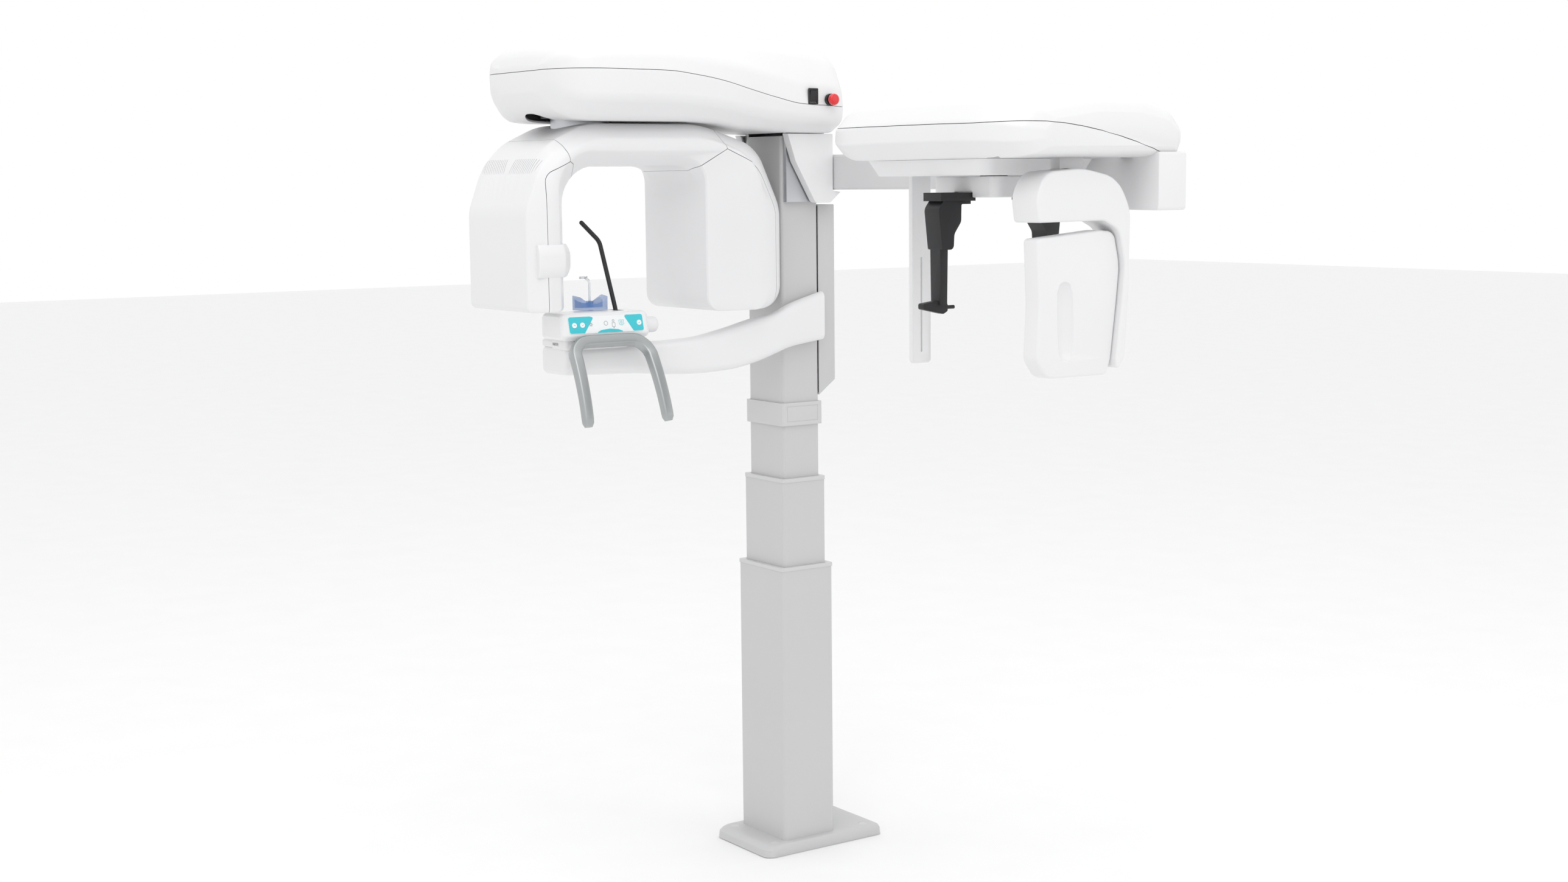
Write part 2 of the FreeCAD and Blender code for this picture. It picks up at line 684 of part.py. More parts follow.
def make_switches():
    """Mains rocker in its bezel and the emergency stop in its collar, on the arm's right flank."""
    face = float(d.arm_half) - 50
    y, z = ROCKER_PLACE
    bezel = box(face, face + 2.4, y - 15, y + 15, z - 20, z + 20)
    tub = box(face - 13, face, y - 12.5, y + 12.5, z - 17.5, z + 17.5)
    hole = box(face - 11, face + 4, y - 10.4, y + 10.4, z - 15.4, z + 15.4)
    keep(cut(fuse(rounded(bezel, 2.0, runs_along("x")), tub), hole), "mains_switch_bezel")
    rocker = slab("XZ", y - 10, y + 10, [(face - 9, z - 14), (face + 1.0, z - 14.5),
                                         (face + 2.6, z - 5), (face + 2.2, z), (face + 5.2, z + 14.5),
                                         (face - 4, z + 14)])
    axle = Part.makeCylinder(1.2, 24, Vector(face - 6, y - 12, z), Vector(0, 1, 0))
    keep(feature(rocker.cut(axle)), "mains_rocker")
    y, z = ESTOP_PLACE
    collar = fuse(rod(15, 9, (face, y, z), "x"), rod(11, 14, (face - 14, y, z), "x"))
    bore = rod(6, 40, (face - 20, y, z), "x")
    keep(cut(collar, bore), "estop_collar")
    stem = rod(5.6, 24, (face - 10, y, z), "x")
    cap = rounded(rod(14.5, 13, (face + 14, y, z), "x"), 4.0, at_level("x", face + 27))
    keep(fuse(stem, cap), "estop_button")


# ---------------------------------------------------------------- rotating arm
def arch_solid(grow):
    """The whole rotating arm as a solid; grow is how far inside the skin it lies."""
    g = grow
    half = float(d.carm_half) - g
    rear_y = float(d.sensor_out - d.spin_y)
    out_y = -float(d.spin_y + d.tube_out)
    # How far each run of the outline has moved in at a level: outer face, top, inner faces, sensor face.
    levels = [(half - 55, 0, 0, 0, 0), (half - 45, 0, 0, 7, 0), (half - 15, 0, 25, 27, 0),
              (half, 48, 37, 37, 115)]
    rows = [(-level, *insets) for level, *insets in reversed(levels)] + levels
    arch = loft("YZ", [(row[0], arch_profile(g, *row[1:])) for row in rows])
    plan = [(-half - 1, out_y - 9), (half + 1, out_y - 9), (half + 1, rear_y - g),
            (-half - 1, rear_y - g)]
    soft = [(*plan[0], 0), (*plan[1], 0), (*plan[2], 112 - g), (*plan[3], 112 - g)]
    return arch.common(slab("XY", 1400, 1950, soft))


def arch_profile(g, outer, upper, inner, face):
    """Side outline of the rotating arm, moved inwards by each of its bevels."""
    spin = -float(d.spin_y)
    top = float(d.arm_low - d.carm_gap) - upper
    under = float(d.arm_low - d.carm_gap - d.arch_high) + inner * 0.97
    out_y = spin - float(d.tube_out) + outer
    in_y = spin - float(d.tube_in) - inner
    face_y = spin + float(d.sensor_in) + face
    rear_y = spin + float(d.sensor_out)
    low_t = float(d.tube_low) + g
    low_s = float(d.sensor_low) + g
    return [(out_y + g, low_t, 8), (out_y + g, 1700, 110), (spin - 185 + outer * 0.6,
                                                            1846 - upper * 0.7, 140),
            (spin - 50, top - g, 120),
            (spin + 270, top - g, 260), (rear_y - 68, 1852 - upper * 0.8, 90), (rear_y - g, 1700,
                110), (rear_y - g, low_s, 55),
            (face_y + g, low_s, 36), (face_y + g, under + g, 62 + g), (in_y - g, under + g,
                92 + g), (in_y - g, low_t, 8)]


def make_rotating_arm():
    """Hub, frame, six covers, tube head and image sensor of the rotating arm."""
    wall = float(d.cover_wall)
    outer = arch_solid(0.0)
    shell = outer.cut(arch_solid(wall))
    spin = -float(d.spin_y)
    top = float(d.arm_low) - float(d.carm_gap)
    under = top - float(d.arch_high)
    out_y = spin - float(d.tube_out)
    in_y = spin - float(d.tube_in)
    face_y = spin + float(d.sensor_in)
    rear_y = spin + float(d.sensor_out)
    seam = out_y + 49
    left = slab("YZ", -200, 200, [(out_y - 9, 1300), (seam, 1300), (seam, under),
                                  (in_y + 15, under + 6), (in_y - 40, top + 20), (out_y - 9, top + 20)])
    inner = slab("YZ", -200, 200, [(seam, 1300), (in_y + 40, 1300), (in_y + 40, under - 60),
                                   (in_y + 15, under + 6), (seam, under)])
    middle = slab("YZ", -200, 200, [(in_y - 40, top + 20), (in_y + 15, under + 6),
                                    (in_y + 40, under - 60), (face_y - 50, under - 60),
                                    (face_y - 24, under - 8), (face_y + 54, under + 40),
                                    (face_y + 42, top - 23), (face_y + 42, top + 20)])
    strip = slab("YZ", -200, 200, [(face_y + 54, under + 40), (rear_y - 104, under - 4, 80),
                                   (rear_y - 52, 1690, 80), (rear_y - 52, 1300), (face_y - 50, 1300),
                                   (face_y - 50, under - 60), (face_y - 24, under - 8)])
    hole = Part.makeCylinder(float(d.ring_bore) / 2 - 3, 30, Vector(0, spin, top - 15))
    keep(feature(shell.common(left)), "tube_housing_outer_cover")
    keep(feature(shell.common(inner)), "tube_housing_inner_cover")
    keep(feature(shell.common(middle).cut(hole)), "arch_bridge_cover")
    front = shell.common(strip)
    keep(feature(front), "sensor_housing_front_cover")
    rear_part = shell.cut(strip).cut(left).cut(inner).cut(middle)
    keep(feature(rear_part), "sensor_housing_rear_cover")
    make_collimator(outer, in_y, out_y)
    make_arm_inside(spin, top, in_y, out_y, face_y)


def make_collimator(outer, in_y, out_y):
    """The beam-limiting nose that wraps the tube housing's inner half."""
    low = 1544.0
    high = 1622.0
    half = float(d.carm_half)
    def belt(z, out):
        return (z, [(-half - out, out_y + 22), (half + out, out_y + 22), (half + out, in_y - 26),
                    (half - 42 + out * 0.5, in_y + 3 + out), (-half + 42 - out * 0.5, in_y + 3 + out),
                    (-half - out, in_y - 26)])
    nose = loft("XY", [belt(low, 0.5), belt(low + 22, 9.0), belt(high - 22, 9.0), belt(high, 0.5)])
    port = slab("XZ", in_y + 8, in_y + 20, [(-4, low + 14), (4, low + 14), (4, high - 14),
                                            (-4, high - 14)])
    skin = nose.cut(outer).cut(port)
    keep(feature(skin), "collimator_nose")


def make_arm_inside(spin, top, in_y, out_y, face_y):
    """Hub, cast frame, X-ray tube head and the panoramic image sensor."""
    hub = rod(d.ring_bore / 2 - 5, 30.5, (0, spin, 1893))
    race = rod(d.ring_bore / 2 - d.fit_gap, 20, (0, spin, 1923.5))
    rotor = rod(d.ring_bore / 2 - 17.5, 30, (0, spin, 1940))
    bore = rod(d.ring_bore / 2 - 34, 90, (0, spin, 1888))
    keep(cut(fuse(hub, race, rotor), bore), "rotation_hub")
    beam = box(-55, 55, out_y + 168, face_y + 20, 1850, 1893)
    link = box(-55, 55, face_y + 18, face_y + 70, 1840, 1875)
    leg_t = box(-55, 55, out_y + 12, out_y + 26, 1490, 1700)
    slope = feature(slab("YZ", -55, 55, [(out_y + 13, 1690), (out_y + 27, 1690), (out_y + 81, 1812),
                                         (out_y + 170, 1852), (out_y + 170, 1892), (out_y + 71, 1826)]))
    leg_s = box(-55, 55, face_y + 48, face_y + 70, 1480, 1875)
    wires = rod(40, 80, (0, spin, 1840))
    keep(cut(fuse(beam, link, slope, leg_t, leg_s), wires), "rotating_arm_frame")
    head = rounded(box(-112, 112, out_y + 27, in_y - 12, 1492, 1690), 10, runs_along("y"))
    port = rod(22, 7.5, (0, in_y - 12, 1583), "y")
    keep(fuse(head, port), "xray_tube_head")
    plate = rounded(box(-120, 120, face_y + 7, face_y + 40, 1490, 1730), 8, runs_along("y"))
    back = box(-60, 60, face_y + 40, face_y + 48, 1520, 1700)
    keep(fuse(plate, back), "panoramic_image_sensor")


# ---------------------------------------------------------------- chin arm and control panel
def make_chin_arm():
    """The arm that carries the control panel, bolted to the right side of the upper tube."""
    side = float(d.upper_w / 2) + 0.3
    rows = [(54, side, 112, 1354, 1480), (-52, side, 122, 1340, 1451),
            (-100, side + 2, 126, 1326, 1431), (-170, 76, 128, 1306, 1418),
            (-250, 68, 126, 1292, 1397), (-340, 50, 122, 1288, 1377), (-430, 16, 112, 1291,
                1371), (-505, -22, 102, 1298, 1371), (-706, -26, 98, 1303, 1370)]
    sections = [(y, [(x0, z0 + 8, 6), (x0 + 12, z0, 6), (x1 - 14, z0, 8), (x1, z0 + 14, 8),
                     (x1, z1 - 10, 6), (x1 - 12, z1, 6), (x0 + 12, z1, 6), (x0, z1 - 10, 6)])
                for y, x0, x1, z0, z1 in rows]
    arm = feature(loft("XZ", sections))
    seat = box(24, 100, -d.panel_mid - 96, -d.panel_mid + 76, 1369, d.panel_low)
    keep(fuse(arm, seat), "chin_rest_arm")


def panel_profile(grow):
    """Side outline of the control panel: a box with a leaning front face."""
    low = float(d.panel_low) + grow
    top = low + float(d.panel_high) - 2 * grow
    return [(22 + grow, low, 6), (126 - grow, low, 6), (134 - grow, low + 12, 3),
            (122 - grow, top - 4, 5), (112 - grow, top, 6), (22 + grow, top, 12)]


def make_panel():
    """Panel housing, membrane, three buttons, handle and head-rest knob."""
    mid = -float(d.panel_mid)
    half = float(d.panel_long) / 2
    wall = 3.0
    def shape(grow):
        body = slab("XZ", mid - half + grow, mid + half - grow, panel_profile(grow))
        plan = [(22, mid - half + grow, 14), (112, mid - half + grow, 10),
                (136, mid - half + 14 + grow, 8), (136, mid + half - 14 - grow, 8),
                (112, mid + half - grow, 10), (22, mid + half - grow, 14)]
        return body.common(slab("XY", 1300, 1500, plan))
    lean = lean_angle()
    face = Placement(Vector(*face_point(0, 0, 0)), Rotation(Vector(0, 1, 0), -lean))
    shell = shape(0.0).cut(shape(wall))
    slot = Part.makeBox(54, 20, 30, Vector(40, HEAD_REST_Y - 10,
                                           float(d.panel_low + d.panel_high) - 15))
    axle = Part.makeCylinder(8.5, 60, Vector(KNOB_X, mid + half - 30, KNOB_Z), Vector(0, 1, 0))
    post = Part.makeCylinder(6.5, 30, Vector(CHIN_X, CHIN_Y, float(d.panel_low + d.panel_high) - 20))
    holes = [Part.makeCylinder(float(d.button_dia) / 2 + float(d.button_gap), 30,
                               Vector(*face_point(-15, along, 0)),
                               face_normal()) for along in BUTTON_PLACES.values()]
    for tool in [slot, axle, post, *holes]:
        shell = shell.cut(tool)
    keep(feature(shell), "control_panel_housing")
    film = Part.makeBox(1.0, 2 * half - 36, 42, Vector(0.05, -half + 18, -21))
    film.Placement = face
    for tool in holes:
        film = film.cut(tool)
    keep(feature(film), "panel_membrane")
    for label, along in BUTTON_PLACES.items():
        shaft = Part.makeCylinder(float(d.button_dia) / 2, 6.2, Vector(*face_point(-4.0, along, 0)),
                                  face_normal())
        stop = Part.makeCylinder(float(d.button_dia) / 2 + 1.6, 1.0, Vector(*face_point(-4.6, along,
            0)), face_normal())
        keep(feature(shaft.fuse(stop)), label)


def lean_angle():
    """How far the panel's front face leans back, in degrees."""
    return math.degrees(math.atan2(12.0, float(d.panel_high) - 16.0))


def face_normal():
    """Outward direction of the panel's front face."""
    lean = math.radians(lean_angle())
    return Vector(math.cos(lean), 0, math.sin(lean))


def face_point(out, along, up):
    """A point on the panel's front face: out of it, along +Y from its middle, and up it."""
    normal = face_normal()
    rise = Vector(-normal.z, 0, normal.x)
    centre = Vector(128.0, -float(d.panel_mid),
                    float(d.panel_low) + 12 + (float(d.panel_high) - 16) / 2)
    place = centre + normal * out + rise * up + Vector(0, along, 0)
    return (place.x, place.y, place.z)


def tube_along(points, radius, bend):
    """A round bar along points, with arcs of one bend radius between the straight runs."""
    edges = []
    start = points[0]
    for index in range(1, len(points) - 1):
        before = (points[index - 1] - points[index]).normalize()
        after = (points[index + 1] - points[index]).normalize()
        half = before.getAngle(after) / 2
        reach = bend / math.tan(half)
        first = points[index] + before * reach
        last = points[index] + after * reach
        middle = points[index] + (before + after).normalize() * (bend / math.sin(half) - bend)
        edges.append(Part.LineSegment(start, first).toShape())
        edges.append(Part.Arc(first, middle, last).toShape())
        start = last
    edges.append(Part.LineSegment(start, points[-1]).toShape())
    path = Part.Wire(edges)
    ring = Part.Wire(Part.makeCircle(radius, points[0], (points[1] - points[0])))
    return path.makePipeShell([ring], True, False)


def make_head_rest():
    """The head-rest rod on its shaft, and the knob that tilts it."""
    end_y = -float(d.panel_mid) + float(d.panel_long) / 2
    base = Vector(KNOB_X, HEAD_REST_Y, KNOB_Z)
    end = Vector(-22, HEAD_REST_Y - 42, 1668)
    rod_shape = tube_along([base, Vector(62, HEAD_REST_Y, 1462), Vector(7, HEAD_REST_Y - 9, 1622), end],
                           5.5, 42.0)
    tip = Part.makeSphere(5.5, end)
    shaft = Part.makeCylinder(6.0, end_y + 6 - HEAD_REST_Y + 8, Vector(KNOB_X, HEAD_REST_Y - 8, KNOB_Z),
                              Vector(0, 1, 0))
    keep(feature(rod_shape.fuse([tip, shaft])), "head_rest_rod")
    knob = Part.makeCone(20.5, 19.0, 40, Vector(KNOB_X, end_y + 8, KNOB_Z), Vector(0, 1, 0))
    collar = Part.makeCylinder(14.0, 5.0, Vector(KNOB_X, end_y + 3, KNOB_Z), Vector(0, 1, 0))
    bore = Part.makeCylinder(6.0, 6, Vector(KNOB_X, end_y, KNOB_Z), Vector(0, 1, 0))
    keep(feature(knob.fuse(collar).cut(bore)), "head_rest_knob")


def make_chin_rest():
    """The clear blue chin cup and the bite stick that plugs into it."""
    top = float(d.panel_low + d.panel_high)
    low = top + 1.0
    block = slab("XY", low, low + 40, [(CHIN_X - 26, CHIN_Y - 42, 14), (CHIN_X + 26, CHIN_Y - 38, 10),
                                       (CHIN_X + 26, CHIN_Y + 38, 10), (CHIN_X - 26, CHIN_Y + 42, 14)])
    saddle = Part.makeCylinder(52, 140, Vector(CHIN_X - 70, CHIN_Y, low + 68), Vector(1, 0, 0))
    hollow = slab("XY", low + 6, low + 60, [(CHIN_X - 22, CHIN_Y - 36, 10),
                                            (CHIN_X + 10, CHIN_Y - 33, 10),
                                            (CHIN_X + 10, CHIN_Y + 33, 10),
                                            (CHIN_X - 22, CHIN_Y + 36, 10)])
    boss = Part.makeCylinder(9, 22, Vector(CHIN_X - 2, CHIN_Y, low))
    peg = Part.makeCylinder(6.0, 61, Vector(CHIN_X, CHIN_Y, low - 60))
    socket = Part.makeCylinder(3.4, 30, Vector(CHIN_X - 2, CHIN_Y, low + 8))
    keep(feature(block.cut(saddle).cut(hollow).fuse([boss, peg]).cut(socket)), "chin_support_cup")
    start = Vector(CHIN_X - 2, CHIN_Y, low + 10)
    stick = tube_along([start, Vector(CHIN_X - 2, CHIN_Y, 1527), Vector(CHIN_X - 27, CHIN_Y, 1535)],
                       3.0, 9.0)
    fork = slab("XY", 1531, 1537, [(CHIN_X - 40, CHIN_Y - 9, 5), (CHIN_X - 24, CHIN_Y - 9, 3),
                                   (CHIN_X - 24, CHIN_Y + 9, 3), (CHIN_X - 40, CHIN_Y + 9, 5)])
    keep(feature(stick.fuse(fork)), "bite_stick")


def make_handle():
    """The patient handle: an inverted U that leans out from under the panel."""
    mid = -float(d.panel_mid)
    half = 104.0
    width, thick = 24.0, 30.0
    lean = math.radians(29.0)
    out = Vector(math.sin(lean), 0, -math.cos(lean))
    top = Vector(142, mid, 1378)
    long = 232.0
    def foot(side):
        return top + out * long + Vector(0, side * (half + 7), 0)
    corners = [top + Vector(0, side * half, 0) for side in (-1, 1)]
    bend = 46.0
    points = [foot(-1), corners[0], corners[1], foot(1)]
    edges = []
    start = points[0]
    for index in (1, 2):
        before = (points[index - 1] - points[index]).normalize()
        after = (points[index + 1] - points[index]).normalize()
        half_turn = before.getAngle(after) / 2
        reach = bend / math.tan(half_turn)
        first, last = points[index] + before * reach, points[index] + after * reach
        middle = points[index] + (before + after).normalize() * (bend / math.sin(half_turn) - bend)
        edges.append(Part.LineSegment(start, first).toShape())
        edges.append(Part.Arc(first, middle, last).toShape())
        start = last
    edges.append(Part.LineSegment(start, points[-1]).toShape())
    path = Part.Wire(edges)
    way = (points[1] - points[0]).normalize()
    across = Vector(math.cos(lean), 0, math.sin(lean))
    side = way.cross(across)
    w, t = width / 2, thick / 2
    ring = [points[0] + side * a + across * b for a, b in ((-w, -t), (w, -t), (w, t), (-w, t))]
    bar = path.makePipeShell([soft_wire(ring, [8.0] * 4)], True, False)
    flange = slab("XZ", mid - 76, mid + 76, [(100.3, 1372), (134, 1370), (134, 1386), (100.3, 1387)])
    keep(feature(bar.fuse(flange)), "patient_handle")


# ---------------------------------------------------------------- cephalometric head
def ceph_solid(grow):
    """The cephalometric head as a solid; grow is how far inside the skin it lies."""
    g = grow
    low = float(d.ceph_low)
    top = low + float(d.ceph_high)
    left, right = float(d.ceph_left), float(d.ceph_right)
    def section(x, front, drop, crown, lowest, rear):
        mid_low, mid_high = low + 36, low + 73
        return (x, [(front + 34, lowest + g), (rear - g - 6, lowest + g), (rear - g, lowest + 20),
                    (rear - g, mid_high + 12 - drop * 0.3),
                    (rear - 60 - g, top - drop - g - 14), (front + 150, top - drop - g), (front + 40,
                        top - drop - crown - g * 0.5), (front + g, mid_high - drop * 0.1), (front + g,
                            mid_low)])
    rows = [(left + g, -270, 78, 10, low + 34, 104), (left + 34, -330, 44, 20, low + 14, 134),
            (left + 110, -350, 14, 26, low, 145),
            (left + 330, -350, 0, 26, low, 145), (right - 200, -350, 2, 28, low, 145), (right - 90,
                -346, 18, 34, low, 145),
            (right - 30, -320, 44, 34, low + 4, 136), (right - g, -282, 84, 30, low + 14, 112)]
    return loft("YZ", [section(*row) for row in rows])


def make_ceph_head():
    """Covers, pod and scan rail of the cephalometric head."""
    low = float(d.ceph_low)
    wall = float(d.cover_wall)
    left, right = float(d.ceph_left), float(d.ceph_right)
    front, rear = float(d.beam_front), float(d.beam_front + d.beam_deep)
    beam_top = float(d.beam_low + d.beam_high)
    shell = ceph_solid(0.0).cut(ceph_solid(wall))
    seam = slab("XZ", -500, 300, [(left - 50, low + 73), (right - 260, low + 73),
                                  (right - 90, low + 62), (right + 50, low + 36),
                                  (right + 50, low + 400), (left - 50, low + 400)])
    trench = slab("YZ", left - 60, right - 29.7, [(front - 0.4, low - 200), (rear + 60, low - 200),
                                                  (rear + 60, beam_top + 0.4),
                                                  (front - 0.4, beam_top + 0.4)])
    keep(feature(shell.common(seam).cut(trench)), "ceph_top_cover")
    lower = shell.cut(seam).cut(trench)
    strut_x = STRUT_X
    slot = slab("XY", low - 10, low + 14, [(strut_x - 19, -314), (strut_x + 19, -314),
                                           (strut_x + 19, 64), (strut_x - 19, 64)])
    gate = slab("XY", low - 10, low + 16, [(700, -262), (722, -262), (722, -44), (700, -44)])
    sheath = slab("XZ", front - 16, rear + 5, [(right - 270, low - 113, 20), (right, low - 113, 10),
                                               (right, low + 8), (right - 270, low + 8)])
    core = Part.makeBox(400, float(d.beam_deep) + 0.6, 400, Vector(right - 429.7, front - 0.3,
                                                                   float(d.beam_low) - 0.3))
    hollow = Part.makeBox(190, float(d.beam_deep), 30, Vector(right - 240, front,
                                                              float(d.beam_low) - 40))
    tail = sheath.cut(core).cut(hollow)
    keep(feature(lower.cut(slot).cut(gate).fuse(tail)), "ceph_bottom_cover")
    pod = loft("XY", [(low - 35, [(742, -270, 30), (1136, -270, 30), (1136, 30, 30), (742, 30, 30)]),
                      (low - 0.3, [(726, -286, 34), (1150, -286, 34), (1150, 45, 34), (726, 45, 34)])])
    axle_hole = Part.makeCylinder(30.0, 60, Vector(float(d.ceph_mid_x), -float(d.ceph_mid_y), low - 50))
    keep(feature(pod.cut(axle_hole)), "ceph_turntable_pod")
    rail = box(STRUT_X - 12, STRUT_X + 12, -330, 66, d.ceph_low + 30, d.ceph_low + 42)
    hanger = [box(STRUT_X - 12, STRUT_X + 12, y, y + 14, d.ceph_low + 42,
                  d.ceph_low + 70) for y in (-330, 52)]
    keep(fuse(rail, *hanger), "ceph_scan_rail")


def make_head_holder():
    """Turning carrier and the two ear rod arms, which close on the head together."""
    x, y = float(d.ceph_mid_x), -float(d.ceph_mid_y)
    top = float(d.ceph_low) - 35 - float(d.turn_gap)
    low = top - 46
    block = slab("XY", low, top, [(x - 110, y - 89, 24), (x + 110, y - 89, 24), (x + 110, y + 89, 24),
                                  (x - 110, y + 89, 24)])
    pivot = Part.makeCylinder(29.4, 34, Vector(x, y, top - 1))
    groove = Part.makeBox(62, 190, 13, Vector(x - 31, y - 95, low - 1))
    keep(feature(block.cut(groove).fuse(pivot)), "ear_rod_carrier")
    for side, label in ((-1, "ear_rod_arm_front"), (1, "ear_rod_arm_rear")):
        keep(feature(ear_rod(x, y, side, low)), label)


def ear_rod(x, y, side, low):
    """One ear rod arm: a slide in the carrier, a tapered upper body, a flat bar and the ear plug."""
    out = float(d.ear_half)
    def place(v):
        return y + side * v
    def plate(half, corners, soft=0):
        return slab("YZ", x - half, x + half, [(place(v), z, r) for v, z, r in corners])
    slide = plate(30.4, [(84 - 6, low + 11.4, 0), (out + 34, low + 11.4, 0), (out + 34, low - 7, 0),
                         (84 - 6, low - 7, 0)])
    web = plate(14, [(84 - 6, low - 6, 0), (out, low - 6, 0), (out - 10, low - 44, 0),
                     (102, low - 14, 0), (84 - 6, low - 14, 0)])
    body = plate(25, [(out - 28, low - 6, 8), (out - 27, low - 52, 16), (out - 8, low - 78, 20),
                      (out - 6, low - 112, 10), (out + 26, low - 112, 4), (out + 36, low - 24, 20),
                      (out + 22, low - 6, 6)])
    bar = plate(17, [(out + 4, low - 108, 0), (out + 26, low - 108, 0), (out + 24, low - 232, 0),
                     (out + 6, low - 232, 0)])
    heel = plate(9, [(out + 66, low - 228, 4), (out + 66, low - 240, 4), (out + 10, low - 252, 4),
                     (out - 2, low - 246, 4), (out - 2, low - 230, 4), (out + 20, low - 222, 4)])
    plug = Part.makeCylinder(4.2, 34, Vector(x, place(out + 8), low - 238), Vector(0, -side, 0))
    return slide.fuse([web, body, bar, heel, plug])


def make_ceph_sensor():
    """Secondary collimator plate, scan strut, sensor arm and the sensor cassette."""
    low = float(d.ceph_low)
    y = -float(d.ceph_mid_y)
    blade = slab("YZ", 705, 717, [(y - 27, 1347), (y - 21, 1341), (y + 21, 1341), (y + 27, 1347),
                                  (y + 27, low + 20), (y - 27, low + 20)])
    slit = slab("YZ", 700, 720, [(y - 2.5, 1367, 2.4), (y + 2.5, 1367, 2.4), (y + 2.5, 1588, 2.4),
                                 (y - 2.5, 1588, 2.4)])
    keep(feature(blade.cut(slit)), "ceph_collimator_plate")
    hood = [(-243, 1674, 8), (-250, 1728, 30), (-226, 1778, 16), (-120, 1786, 60), (-20, 1764, 50),
            (17, 1700, 40), (2, 1385, 10), (-22, 1352, 4), (-33, 1357), (-24, 1380), (-8, 1500, 300),
            (1, 1580, 200), (-16, 1655, 40), (-60, 1676, 30)]
    arm = keep(feature(slab("YZ", 1200, 1282, hood)), "ceph_sensor_arm")
    strut = box(STRUT_X - 15, STRUT_X + 15, -142, -74, 1770, d.ceph_low + 20)
    truck = box(STRUT_X - 26, STRUT_X + 26, -150, -66, d.ceph_low + 12, d.ceph_low + 48)
    groove = box(STRUT_X - 12.4, STRUT_X + 12.4, -152, -64, d.ceph_low + 29.6, d.ceph_low + 42.4)
    neck = box(STRUT_X - 8, STRUT_X + 8, -152, -64, d.ceph_low + 42, d.ceph_low + 50)
    keep(cut(cut(fuse(strut, truck), groove, neck), arm), "ceph_scan_strut")
    cassette = [(-236, 1385, 40), (-206, 1347, 30), (-40, 1347, 12), (-34.5, 1357), (-25.5, 1380),
                (-9.5, 1500, 300), (-0.8, 1580, 200), (-17.5, 1653, 24), (-60, 1656), (-236, 1640, 6),
                (-228, 1500)]
    box_body = slab("YZ", 1221, 1268, cassette)
    grip = slab("YZ", 1258, 1270, [(-186, 1376, 20), (-130, 1376, 20), (-130, 1500, 27),
                                   (-134, 1559, 14), (-172, 1540, 16), (-188, 1480, 40)])
    keep(feature(box_body.cut(grip)), "ceph_sensor_cassette")


def write_parts():
    """Check every object, then write each sub-part to its own STEP file."""
    doc.recompute()
    for thing in doc.Objects:
        if "Invalid" in thing.State or "Error" in thing.State:
            raise ValueError(f"{thing.Label} ({thing.TypeId}) failed: {thing.State}")
    os.makedirs("parts", exist_ok=True)
    for thing in nodes:
        shape = thing.Shape
        if shape.isNull() or not shape.isValid() or not shape.Solids:
            raise ValueError(f"{thing.Label} has no valid solid")
    for thing in nodes:
        thing.Shape.exportStep(f"parts/{thing.Label}.step")
    print(len(nodes), "sub-parts written")


make_base()
make_column()
make_carriage()
make_overhead()
make_stage()
make_switches()
make_rotating_arm()
make_chin_arm()
make_panel()
make_head_rest()
make_chin_rest()
make_handle()
make_ceph_head()
make_head_holder()
make_ceph_sensor()
write_parts()
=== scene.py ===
"""Looks for a panoramic X-ray machine: column, overhead arm, rotating arm, chin rest and side head holder.

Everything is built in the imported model's own frame, in metres. Sizes in the classes are in millimetres.
"""
from __future__ import annotations

import logging
import math
from dataclasses import dataclass, field
from enum import Enum
from typing import Iterable, Sequence, Union

import bmesh
import bpy
from mathutils import Matrix, Vector

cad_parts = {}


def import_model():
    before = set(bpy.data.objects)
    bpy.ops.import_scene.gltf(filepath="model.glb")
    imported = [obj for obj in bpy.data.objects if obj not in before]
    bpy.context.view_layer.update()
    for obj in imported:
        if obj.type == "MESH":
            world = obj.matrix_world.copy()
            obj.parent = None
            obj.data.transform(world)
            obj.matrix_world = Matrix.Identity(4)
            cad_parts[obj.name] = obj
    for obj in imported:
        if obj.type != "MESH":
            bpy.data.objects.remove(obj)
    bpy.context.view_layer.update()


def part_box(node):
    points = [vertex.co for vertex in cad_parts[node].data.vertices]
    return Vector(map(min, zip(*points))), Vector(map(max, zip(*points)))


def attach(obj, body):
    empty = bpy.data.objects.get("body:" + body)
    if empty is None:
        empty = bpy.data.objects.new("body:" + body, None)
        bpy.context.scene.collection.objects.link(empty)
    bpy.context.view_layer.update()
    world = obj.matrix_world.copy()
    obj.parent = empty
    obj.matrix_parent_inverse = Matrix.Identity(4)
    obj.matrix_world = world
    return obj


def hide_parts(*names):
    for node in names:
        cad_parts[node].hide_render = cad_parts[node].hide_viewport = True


MM = 0.001
LOG = logging.getLogger("xray_machine")
X_AXIS, Y_AXIS, Z_AXIS = Vector((1, 0, 0)), Vector((0, 1, 0)), Vector((0, 0, 1))
Spot = tuple[float, float]
Corner = tuple[float, float, float]
Ring = list[Vector]
Number = Union[float, "Sock"]


class Body(str, Enum):
    """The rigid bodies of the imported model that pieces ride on."""

    BASE = "column_base"
    MIDDLE = "middle_stage"
    CARRIAGE = "carriage"
    STAGE = "bearing_stage"
    ARM = "rotating_arm"
    HEAD_REST = "head_rest"
    CHIN = "chin_support"
    BITE = "bite_stick"
    BUTTON_UP = "button_up"
    BUTTON_DOWN = "button_down"
    BUTTON_CONFIRM = "button_confirm"
    ROCKER = "mains_rocker"
    ESTOP = "estop_button"
    HOLDER = "head_holder"
    EAR_FRONT = "ear_rod_front"
    EAR_REAR = "ear_rod_rear"
    SCANNER = "ceph_scanner"
    SENSOR = "ceph_sensor"
    COLLIMATOR = "ceph_collimator"


